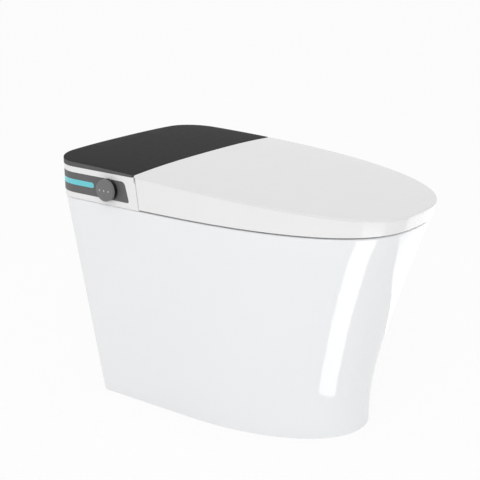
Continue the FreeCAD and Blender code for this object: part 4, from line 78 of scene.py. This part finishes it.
def finish(name, colour, shade, gloss, gloss_spread, wave_mm, wave_height_mm, **shader):
    """A material: colour varies towards shade, roughness about gloss, bumps of a real height."""
    material = bpy.data.materials.new(name)
    material.use_nodes = True
    tree = material.node_tree
    tree.nodes.clear()
    place = add_node(tree, "ShaderNodeTexCoord").outputs["Object"]
    clouds = add_node(tree, "ShaderNodeTexNoise", Vector=place, Detail=3.0,
                      Scale=per_mm(wave_mm * CLOUD_WAVES))
    waves = add_node(tree, "ShaderNodeTexNoise", Vector=place, Scale=per_mm(wave_mm), Detail=4.0)
    tint = add_node(tree, "ShaderNodeMix", {"data_type": "RGBA"})
    tint.inputs["A"].default_value = linear(colour)
    tint.inputs["B"].default_value = linear(shade)
    tree.links.new(clouds.outputs["Fac"], tint.inputs["Factor"])
    level = add_node(tree, "ShaderNodeMapRange", Value=clouds.outputs["Fac"])
    level.inputs["To Min"].default_value = gloss - gloss_spread
    level.inputs["To Max"].default_value = gloss + gloss_spread
    bump = add_node(tree, "ShaderNodeBump", Height=waves.outputs["Fac"], Strength=1.0,
                    Distance=wave_height_mm * MM)
    body = add_node(tree, "ShaderNodeBsdfPrincipled", Normal=bump.outputs["Normal"],
                    Roughness=level.outputs["Result"], **shader)
    tree.links.new(tint.outputs["Result"], body.inputs["Base Color"])
    out = add_node(tree, "ShaderNodeOutputMaterial")
    tree.links.new(body.outputs["BSDF"], out.inputs["Surface"])
    return material


# %% [markdown]
# ## The finishes of this object
# Vitreous china is fired with a clear glass glaze: it is very smooth and bright, with slow waves where
# the glaze ran. The lid, seat and shell are moulded ABS from a polished mould, a little softer than
# glaze. The rear cover has a charcoal soft-touch paint, so it stays dark even where light grazes it.
# Each line below gives a colour, the shade it drifts to, the roughness and how far that varies, then
# the length and the height of the waves in millimetres.

# %% White finishes
# Fired glaze: the sharpest mirror on the object, in cool white.
GLAZED_CHINA = finish("glazed_vitreous_china", "#F3F4F5", "#F1F2F3", 0.07, 0.02, 14.0, 0.010, IOR=1.52)
# Polished mould, plain white: soft mirror images with a faint blur.
GLOSS_ABS = finish("gloss_moulded_abs", "#F0F0F0", "#EDEDED", 0.20, 0.03, 5.0, 0.004, IOR=1.53)
# The lid's plate is painted a shade greyer than its skirt, as painted shade for the weaker light on its
# top, so its rim reads as a line.
LID_ABS_PAINTED_SHADE = finish("gloss_moulded_abs_lid_painted_shade", "#E7E7E7", "#E4E4E4", 0.22, 0.03, 5.0, 0.004, IOR=1.53)
# The skirt is polished more, and takes up the long bright band of the pan below it.
SKIRT_ABS = finish("gloss_moulded_abs_skirt", "#F0F0F0", "#EDEDED", 0.14, 0.03, 5.0, 0.004, IOR=1.53)
# Satin mould, slightly waxy and warm: the pieces that nobody is meant to look at.
SATIN_PP = finish("satin_moulded_polypropylene", "#E8E8E6", "#E3E3E0", 0.42, 0.05, 1.5, 0.010, IOR=1.49)
print("white finishes", len(bpy.data.materials))

# %% Dark finishes
# Sprayed paint with a rubbery feel: almost no mirror image, an even dark grey; its rim gets painted
# light further down.
SOFT_TOUCH_AND_RIM_LIGHT = finish("charcoal_soft_touch_paint_and_painted_rim_light", "#333333", "#303030", 0.60, 0.04, 1.2, 0.004,
                    IOR=1.45, Specular_IOR_Level=0.04)
# Finely etched mould: a dull mid grey round the light strip.
PANEL_ABS = finish("grey_satin_abs", "#686868", "#636363", 0.45, 0.04, 1.2, 0.006,
                   IOR=1.5, Specular_IOR_Level=0.25)
# The same etched plastic a little lighter, so the knob stands out from its panel.
KNOB_ABS_AND_SHADE = finish("dark_grey_satin_abs_and_painted_shade", "#767676", "#717171", 0.40, 0.04, 1.0, 0.006,
                  IOR=1.5, Specular_IOR_Level=0.3)
print("white and dark finishes", len(bpy.data.materials))

# %% [markdown]
# Two of these finishes change over the piece. On the cover, the faces that turn sideways at the rim are
# painted a lighter grey than the dark top, as painted light. The knob's rear is painted black all round,
# as painted shade for the gap behind it, and its face has three pale printed ticks. Separate pieces
# could show these too, but print and paint have no thickness to speak of. So each change is a mask made
# from the piece's own place or direction, and it stays put when the piece moves.


# %% Masks that lay a second colour over a finish
def overlay(material, colour, mask):
    """Lays a colour over a finish where the mask is 1."""
    tree = material.node_tree
    body = next(node for node in tree.nodes if node.type == "BSDF_PRINCIPLED")
    below = body.inputs["Base Color"].links[0].from_socket
    mix = add_node(tree, "ShaderNodeMix", {"data_type": "RGBA"})
    tree.links.new(below, mix.inputs["A"])
    mix.inputs["B"].default_value = linear(colour)
    tree.links.new(mask, mix.inputs["Factor"])
    tree.links.new(mix.outputs["Result"], body.inputs["Base Color"])
    print(material.name, "has a second colour", colour)


def ramp(tree, value, start, end):
    """0 at start and 1 at end, held outside them."""
    node = add_node(tree, "ShaderNodeMapRange", Value=value)
    node.inputs["From Min"].default_value = start
    node.inputs["From Max"].default_value = end
    return node.outputs["Result"]


def maths(tree, operation, first, second=0.0):
    """One sum of one or two values or sockets."""
    node = add_node(tree, "ShaderNodeMath", {"operation": operation})
    for socket, value in zip(node.inputs, (first, second)):
        if isinstance(value, bpy.types.NodeSocket):
            tree.links.new(value, socket)
        else:
            socket.default_value = value
    return node.outputs["Value"]


def place_axes(tree, output="Object"):
    """The piece's own coordinates as three values."""
    place = add_node(tree, "ShaderNodeTexCoord").outputs[output]
    return add_node(tree, "ShaderNodeSeparateXYZ", Vector=place).outputs


# %% The cover's rim in painted light
# Painted light: past these turns the cover's faces turned sideways get a lighter grey than the dark top.
PAINTED_RIM_LIGHT_TURNS = (0.80, 0.62)  # upward part of the normal where the paint ends and the rim begins
cover_tree = SOFT_TOUCH_AND_RIM_LIGHT.node_tree
# The lighter grey laid over the rim is painted light, not a colour of the cover.
overlay(SOFT_TOUCH_AND_RIM_LIGHT, "#626262", ramp(cover_tree, place_axes(cover_tree, "Normal")["Z"], *PAINTED_RIM_LIGHT_TURNS))

# %% [markdown]
# The ticks are print on the knob's face. Folding the distance along the row back and forth brings every
# tick onto one, so a single width test draws all three; two more tests end the row and give the height.

# %% The knob's painted shade ring and printed ticks
KNOB_CENTRE_Y = 0.151
KNOB_CENTRE_Z = 0.426
# The black band on the knob's rear is painted shade for the dark gap between the knob and its panel.
KNOB_SHADE_EDGE_MM = (-208.6, -208.0)  # the black ring begins between these and runs back to the panel
TICK_PITCH = 10.5 * MM
TICK_HALF_WIDTH = 0.8 * MM
TICK_HALF_HEIGHT = 1.6 * MM
TICK_ROW_HALF = 14.7 * MM


def tick_mask(tree, axes):
    """1 on three upright ticks in a row across the knob's face."""
    along = maths(tree, "SUBTRACT", axes["Y"], KNOB_CENTRE_Y)
    folded = maths(tree, "PINGPONG", maths(tree, "ADD", along, TICK_PITCH), TICK_PITCH / 2)
    rise = maths(tree, "ABSOLUTE", maths(tree, "SUBTRACT", axes["Z"], KNOB_CENTRE_Z))
    tests = [maths(tree, "LESS_THAN", folded, TICK_HALF_WIDTH),
             maths(tree, "LESS_THAN", rise, TICK_HALF_HEIGHT),
             maths(tree, "LESS_THAN", maths(tree, "ABSOLUTE", along), TICK_ROW_HALF)]
    on_tick = maths(tree, "MULTIPLY", tests[0], tests[1])
    return maths(tree, "MULTIPLY", on_tick, tests[2])


knob_tree = KNOB_ABS_AND_SHADE.node_tree
knob_axes = place_axes(knob_tree)
knob_shade_edge = [edge * MM for edge in KNOB_SHADE_EDGE_MM]
overlay(KNOB_ABS_AND_SHADE, "#D8D8D8", tick_mask(knob_tree, knob_axes))
# Painted shade: black over the knob's rear, from the ring edge back to the panel.
overlay(KNOB_ABS_AND_SHADE, "#0C0C0C", ramp(knob_tree, knob_axes["X"], *knob_shade_edge))

# %% [markdown]
# The light strip is a tinted acrylic diffuser with its lamps on: the colour comes partly from its own
# light, so it reads clear and even whatever falls on it.

# %% Light strip
DIFFUSER = finish("tinted_acrylic_diffuser", "#5FB6BE", "#59AEB7", 0.30, 0.03, 6.0, 0.003, IOR=1.49,
                  Emission_Color=linear("#66C4CC"), Emission_Strength=0.30)
print(DIFFUSER.name, "glows")

# %% [markdown]
# Inside the unit the finishes are plainer, and each is named for what it really is. They hardly show
# in the picture, but the pieces come into sight as the lid, the seat and the nozzles move. The marks on
# the steel are drawn coarser than they are, because real ones would vanish at this distance.

# %% Metals
# Brushed steel: a bright grey whose fine marks blur the mirror image.
STAINLESS = finish("brushed_stainless_steel", "#B9BABC", "#A9AAAD", 0.28, 0.06, 0.6, 0.006, Metallic=1.0)
# Turned brass: yellow, with a fine ripple from the tool.
BRASS = finish("turned_brass", "#C9A55C", "#B9964F", 0.25, 0.06, 0.5, 0.005, Metallic=1.0)
# Foil laid by hand: bright, with shallow creases.
ALUMINIUM_FOIL = finish("aluminium_foil_mat", "#C8CACC", "#B9BCC0", 0.35, 0.08, 3.0, 0.05, Metallic=1.0)

# %% Plastics and rubbers
# Spark-eroded mould, mid grey: the housings.
GREY_ABS = finish("grey_moulded_abs", "#6C6E70", "#626467", 0.45, 0.05, 1.5, 0.012, IOR=1.53)
# The same texture in black: fans, pumps and cases.
BLACK_ABS = finish("black_moulded_abs", "#242526", "#1E1F20", 0.42, 0.06, 1.2, 0.012, IOR=1.53)
# Uncoloured acetal: milky, slightly yellow, smooth from the mould.
ACETAL = finish("natural_acetal", "#E3E0D6", "#DAD6CA", 0.38, 0.04, 1.0, 0.004, IOR=1.48)
# Moulded rubber: dull, with hardly any mirror image.
GREY_RUBBER = finish("grey_moulded_rubber", "#A7A8A8", "#9C9D9D", 0.70, 0.06, 0.8, 0.012, IOR=1.52)
BLACK_RUBBER = finish("black_moulded_rubber", "#262626", "#202020", 0.72, 0.06, 0.8, 0.015, IOR=1.52)
# Extruded silicone: milky with a soft sheen.
SILICONE = finish("silicone_hose", "#CFCFCB", "#C4C4BF", 0.50, 0.05, 2.0, 0.010, IOR=1.41)

# %% Board, heater, carbon and lens
# Woven glass in green resin: the weave shows as a fine ripple under the lacquer.
BOARD = finish("glass_epoxy_board", "#1E6B3C", "#185B32", 0.35, 0.05, 0.9, 0.010, IOR=1.55)
# Mica sheets wound with resistance ribbon: mottled and silky.
MICA = finish("mica_and_resistance_ribbon", "#D3C9B4", "#B9AE97", 0.45, 0.10, 2.2, 0.030, IOR=1.58)
# Pressed granules: black, rough and matt.
CARBON = finish("pressed_activated_carbon", "#2A2A2B", "#161617", 0.85, 0.06, 1.4, 0.180, IOR=1.6)
# Clear moulded lens: bright, half see-through.
LENS = finish("clear_polycarbonate_lens", "#E6EDF4", "#DDE6EE", 0.12, 0.03, 4.0, 0.002, IOR=1.58,
              Transmission_Weight=0.6)
print("all finishes", len(bpy.data.materials))

# %% [markdown]
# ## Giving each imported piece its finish
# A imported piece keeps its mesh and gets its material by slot. Its triangles come loose, each with its
# own corners, so a small geometry-nodes modifier joins them and shades smooth across every edge that
# bends by less than a set angle. Editing the mesh would do the same once and for all, but a modifier
# leaves it as it was packed.

# %% Weld and smooth
SMOOTH_ANGLE = math.radians(32)
WELD_DISTANCE = 0.002 * MM


def smooth_group():
    """Geometry nodes that weld loose triangles and keep only real edges sharp."""
    tree = bpy.data.node_groups.new("weld_and_smooth", "GeometryNodeTree")
    for way in ("INPUT", "OUTPUT"):
        tree.interface.new_socket("Geometry", in_out=way, socket_type="NodeSocketGeometry")
    start = tree.nodes.new("NodeGroupInput")
    end = tree.nodes.new("NodeGroupOutput")
    welded = add_node(tree, "GeometryNodeMergeByDistance", Geometry=start.outputs["Geometry"],
                      Distance=WELD_DISTANCE)
    smooth = add_node(tree, "GeometryNodeSetShadeSmooth", {"domain": "FACE"},
                      Geometry=welded.outputs["Geometry"], Shade_Smooth=True)
    angle = add_node(tree, "GeometryNodeInputMeshEdgeAngle")
    sharp = add_node(tree, "FunctionNodeCompare", {"data_type": "FLOAT", "operation": "GREATER_THAN"})
    tree.links.new(angle.outputs["Unsigned Angle"], sharp.inputs["A"])
    sharp.inputs["B"].default_value = SMOOTH_ANGLE
    edges = add_node(tree, "GeometryNodeSetShadeSmooth", {"domain": "EDGE"},
                     Geometry=smooth.outputs["Geometry"], Selection=sharp.outputs["Result"],
                     Shade_Smooth=False)
    tree.links.new(edges.outputs["Geometry"], end.inputs["Geometry"])
    return tree


WELD_AND_SMOOTH = smooth_group()


def dress(material, *names):
    """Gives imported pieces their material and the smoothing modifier."""
    for name in names:
        node = NODES[name]
        node.data.materials.clear()
        node.data.materials.append(material)
        modifier = node.modifiers.new("weld_and_smooth", "NODES")
        modifier.node_group = WELD_AND_SMOOTH


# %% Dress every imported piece
dress(GLAZED_CHINA, "ceramic_pan", "ceramic_bowl", "ceramic_trapway")
dress(LID_ABS_PAINTED_SHADE, "lid_top")
dress(SKIRT_ABS, "lid_frame")
dress(GLOSS_ABS, "unit_shell", "seat_top", "rear_nozzle", "front_nozzle")
dress(SATIN_PP, "unit_base_plate", "hinge_bracket", "lid_liner", "seat_base", "nozzle_cradle",
      "dryer_flap", "solenoid_valve", "instant_heater")
dress(SOFT_TOUCH_AND_RIM_LIGHT, "top_cover")
dress(PANEL_ABS, "side_panel")
dress(KNOB_ABS_AND_SHADE, "knob_cap")
dress(DIFFUSER, "light_strip")
dress(STAINLESS, "mount_bolts", "knob_shaft", "seat_hinge_shaft", "lid_hinge_shaft", "nozzle_motors",
      "dryer_motor", "deodoriser_motor", "inlet_filter")
dress(BRASS, "inlet_connector")
dress(ALUMINIUM_FOIL, "seat_heater")
dress(GREY_ABS, "seat_damper", "lid_damper", "dryer_duct", "dryer_housing", "deodoriser_duct",
      "flow_diverter")
dress(BLACK_ABS, "cord_gland", "knob_encoder", "seat_thermostat", "dryer_impeller", "deodoriser_fan",
      "air_pump", "flush_pump", "power_supply")
dress(ACETAL, "knob_rotor", "rear_pinion", "front_pinion")
dress(GREY_RUBBER, "deck_gasket", "lid_bumpers", "seat_bumpers")
dress(BLACK_RUBBER, "outlet_seal")
dress(SILICONE, "supply_hose", "warm_hose", "flush_hose")
dress(BOARD, "light_board", "control_board")
dress(MICA, "dryer_heater")
dress(CARBON, "deodoriser_cartridge")
dress(LENS, "night_light")
print("undressed", sorted(name for name, node in NODES.items() if not node.modifiers))

# %% [markdown]
# ## Floor and studio
# A catalogue picture has a white ground that runs on without a horizon. The floor is white paint lit by
# the studio; towards the camera and in reflections it is blended with plain white light, so it reads
# white while the object's own shadow stays on it. More light on the floor would whiten it too, but it
# would also bleach the object.

# %% Floor
FLOOR_HALF = 12.0
FLOOR_GLOW = 0.86  # share of plain white light that the camera and reflections see


def floor_material():
    """White paper, blended with plain light for the camera and for reflections."""
    material = bpy.data.materials.new("white_paper_floor")
    material.use_nodes = True
    tree = material.node_tree
    tree.nodes.clear()
    paper = add_node(tree, "ShaderNodeBsdfDiffuse", Color=linear("#FBFBFB"))
    glow = add_node(tree, "ShaderNodeEmission", Color=(1.0, 1.0, 1.0, 1.0), Strength=1.0)
    path = add_node(tree, "ShaderNodeLightPath")
    seen = add_node(tree, "ShaderNodeMath", {"operation": "MAXIMUM"})
    tree.links.new(path.outputs["Is Camera Ray"], seen.inputs[0])
    tree.links.new(path.outputs["Is Glossy Ray"], seen.inputs[1])
    share = add_node(tree, "ShaderNodeMath", {"operation": "MULTIPLY"})
    tree.links.new(seen.outputs["Value"], share.inputs[0])
    share.inputs[1].default_value = FLOOR_GLOW
    both = add_node(tree, "ShaderNodeMixShader", Fac=share.outputs["Value"])
    tree.links.new(paper.outputs["BSDF"], both.inputs[1])
    tree.links.new(glow.outputs["Emission"], both.inputs[2])
    out = add_node(tree, "ShaderNodeOutputMaterial")
    tree.links.new(both.outputs["Shader"], out.inputs["Surface"])
    return material


def make_floor():
    """A wide level square under the object."""
    mesh = bpy.data.meshes.new("floor")
    shape = bmesh.new()
    bmesh.ops.create_grid(shape, x_segments=1, y_segments=1, size=FLOOR_HALF)
    shape.to_mesh(mesh)
    shape.free()
    floor = bpy.data.objects.new("floor", mesh)
    floor.data.materials.append(floor_material())
    bpy.context.scene.collection.objects.link(floor)
    print("floor", FLOOR_HALF * 2, "m square")


make_floor()

# %% [markdown]
# The world is a white tent round the object. It lights from all sides a little below full level, so
# that pale surfaces keep their shading, and it is plain white where the camera or a mirror image looks
# straight at it.

# %% World
WORLD_LEVEL = 0.80


def make_world():
    """Soft light from all round; white where the camera or a reflection looks straight at it."""
    world = bpy.data.worlds.new("studio")
    bpy.context.scene.world = world
    world.use_nodes = True
    tree = world.node_tree
    tree.nodes.clear()
    path = add_node(tree, "ShaderNodeLightPath")
    seen = add_node(tree, "ShaderNodeMath", {"operation": "MAXIMUM"})
    tree.links.new(path.outputs["Is Camera Ray"], seen.inputs[0])
    tree.links.new(path.outputs["Is Glossy Ray"], seen.inputs[1])
    level = add_node(tree, "ShaderNodeMapRange", Value=seen.outputs["Value"])
    level.inputs["To Min"].default_value = WORLD_LEVEL
    level.inputs["To Max"].default_value = 1.0
    sky = add_node(tree, "ShaderNodeBackground", Color=(1.0, 1.0, 1.0, 1.0),
                   Strength=level.outputs["Result"])
    out = add_node(tree, "ShaderNodeOutputWorld")
    tree.links.new(sky.outputs["Background"], out.inputs["Surface"])
    print("world level", WORLD_LEVEL)


make_world()

# %% [markdown]
# One large square lamp stands high on the knob's side, in front. It is close to the camera's own side,
# so the faces that are seen are evenly lit and the shadow falls softly behind.


# %% Lamps
def softbox(name, place, aim, size, power):
    """A square area lamp at a place, turned to an aim point, that the camera doesn't see."""
    lamp = bpy.data.lights.new(name, "AREA")
    lamp.shape = "SQUARE"
    lamp.size = size
    lamp.energy = power
    holder = bpy.data.objects.new(name, lamp)
    holder.location = place
    holder.rotation_euler = (Vector(aim) - Vector(place)).to_track_quat("-Z", "Y").to_euler()
    holder.visible_camera = False
    bpy.context.scene.collection.objects.link(holder)
    print(name, power, "W")


MIDDLE = (0.0, -0.04, 0.25)
softbox("key_softbox", (-2.6, -1.6, 2.4), MIDDLE, 2.2, 24.0)

# %% [markdown]
# Glazed china is read from what it mirrors. In the picture a long bright band runs down the side of
# the pan: a lit card that lies on the ground in front. A real lamp there would also light the pan from
# below, so the card here shows in reflections only. A second card at the far side draws the thin
# bright edge along the right of the pan.

# %% Where the two cards lie
CARD_LEVEL = 3  # just above the floor, in mm like the corners below
GROUND_CARD = [(-145, -300), (-75, -335), (-30, -1025), (-495, -955)]
GROUND_CARD_LIGHT = 4.0
FAR_CARD = [(420, -750), (1500, -1300), (1500, 500), (420, 80)]
FAR_CARD_LIGHT = 2.2
print("cards", GROUND_CARD, FAR_CARD)


# %% Cards that only reflections see
def card_material(name, strength):
    """Plain light on the side that faces the object."""
    material = bpy.data.materials.new(name)
    material.use_nodes = True
    tree = material.node_tree
    tree.nodes.clear()
    light = add_node(tree, "ShaderNodeEmission", Color=(1.0, 1.0, 1.0, 1.0), Strength=strength)
    out = add_node(tree, "ShaderNodeOutputMaterial")
    tree.links.new(light.outputs["Emission"], out.inputs["Surface"])
    return material


def reflection_card(name, corners_mm, strength):
    """A flat four-cornered card that the camera and the soft light don't see."""
    mesh = bpy.data.meshes.new(name)
    shape = bmesh.new()
    corners = [shape.verts.new((x * MM, y * MM, CARD_LEVEL * MM)) for x, y in corners_mm]
    bmesh.ops.contextual_create(shape, geom=corners)
    shape.to_mesh(mesh)
    shape.free()
    card = bpy.data.objects.new(name, mesh)
    card.data.materials.append(card_material(name, strength))
    card.visible_camera = False
    card.visible_diffuse = False
    card.visible_shadow = False
    bpy.context.scene.collection.objects.link(card)
    print(name, "strength", strength)


reflection_card("ground_card", GROUND_CARD, GROUND_CARD_LIGHT)
reflection_card("far_card", FAR_CARD, FAR_CARD_LIGHT)

# %% [markdown]
# ## Camera
# The camera stands where the picture was taken from: turned 53.7 degrees to the knob's side, 19 degrees
# above level, 2.12 m from a point on the plane of symmetry. Its lens and small shift come from the same
# fit to the picture's outline.

# %% Camera
VIEW_TURN = math.radians(-53.74)
VIEW_RISE = math.radians(19.0)
VIEW_DISTANCE = 2.1214
VIEW_TARGET = Vector((0.0, -0.0376, 0.2370))
FRAME_PIXELS = 480
FOCAL_PIXELS = 1142.63
CENTRE_PIXEL = (263.19, 281.49)
SENSOR_MM = 36.0


def make_camera():
    """A camera at the fitted place, with its image centre shifted as in the picture."""
    data = bpy.data.cameras.new("camera")
    data.sensor_width = SENSOR_MM
    data.lens = FOCAL_PIXELS / FRAME_PIXELS * SENSOR_MM
    data.shift_x = (FRAME_PIXELS / 2 - CENTRE_PIXEL[0]) / FRAME_PIXELS
    data.shift_y = (CENTRE_PIXEL[1] - FRAME_PIXELS / 2) / FRAME_PIXELS
    camera = bpy.data.objects.new("camera", data)
    back = Vector((math.sin(VIEW_TURN) * math.cos(VIEW_RISE),
                   -math.cos(VIEW_TURN) * math.cos(VIEW_RISE), math.sin(VIEW_RISE)))
    camera.location = VIEW_TARGET + back * VIEW_DISTANCE
    camera.rotation_euler = (-back).to_track_quat("-Z", "Y").to_euler()
    bpy.context.scene.collection.objects.link(camera)
    bpy.context.scene.camera = camera
    print("lens", round(data.lens, 2), "shift", round(data.shift_x, 4), round(data.shift_y, 4))


make_camera()
bpy.context.scene.view_settings.view_transform = "Standard"
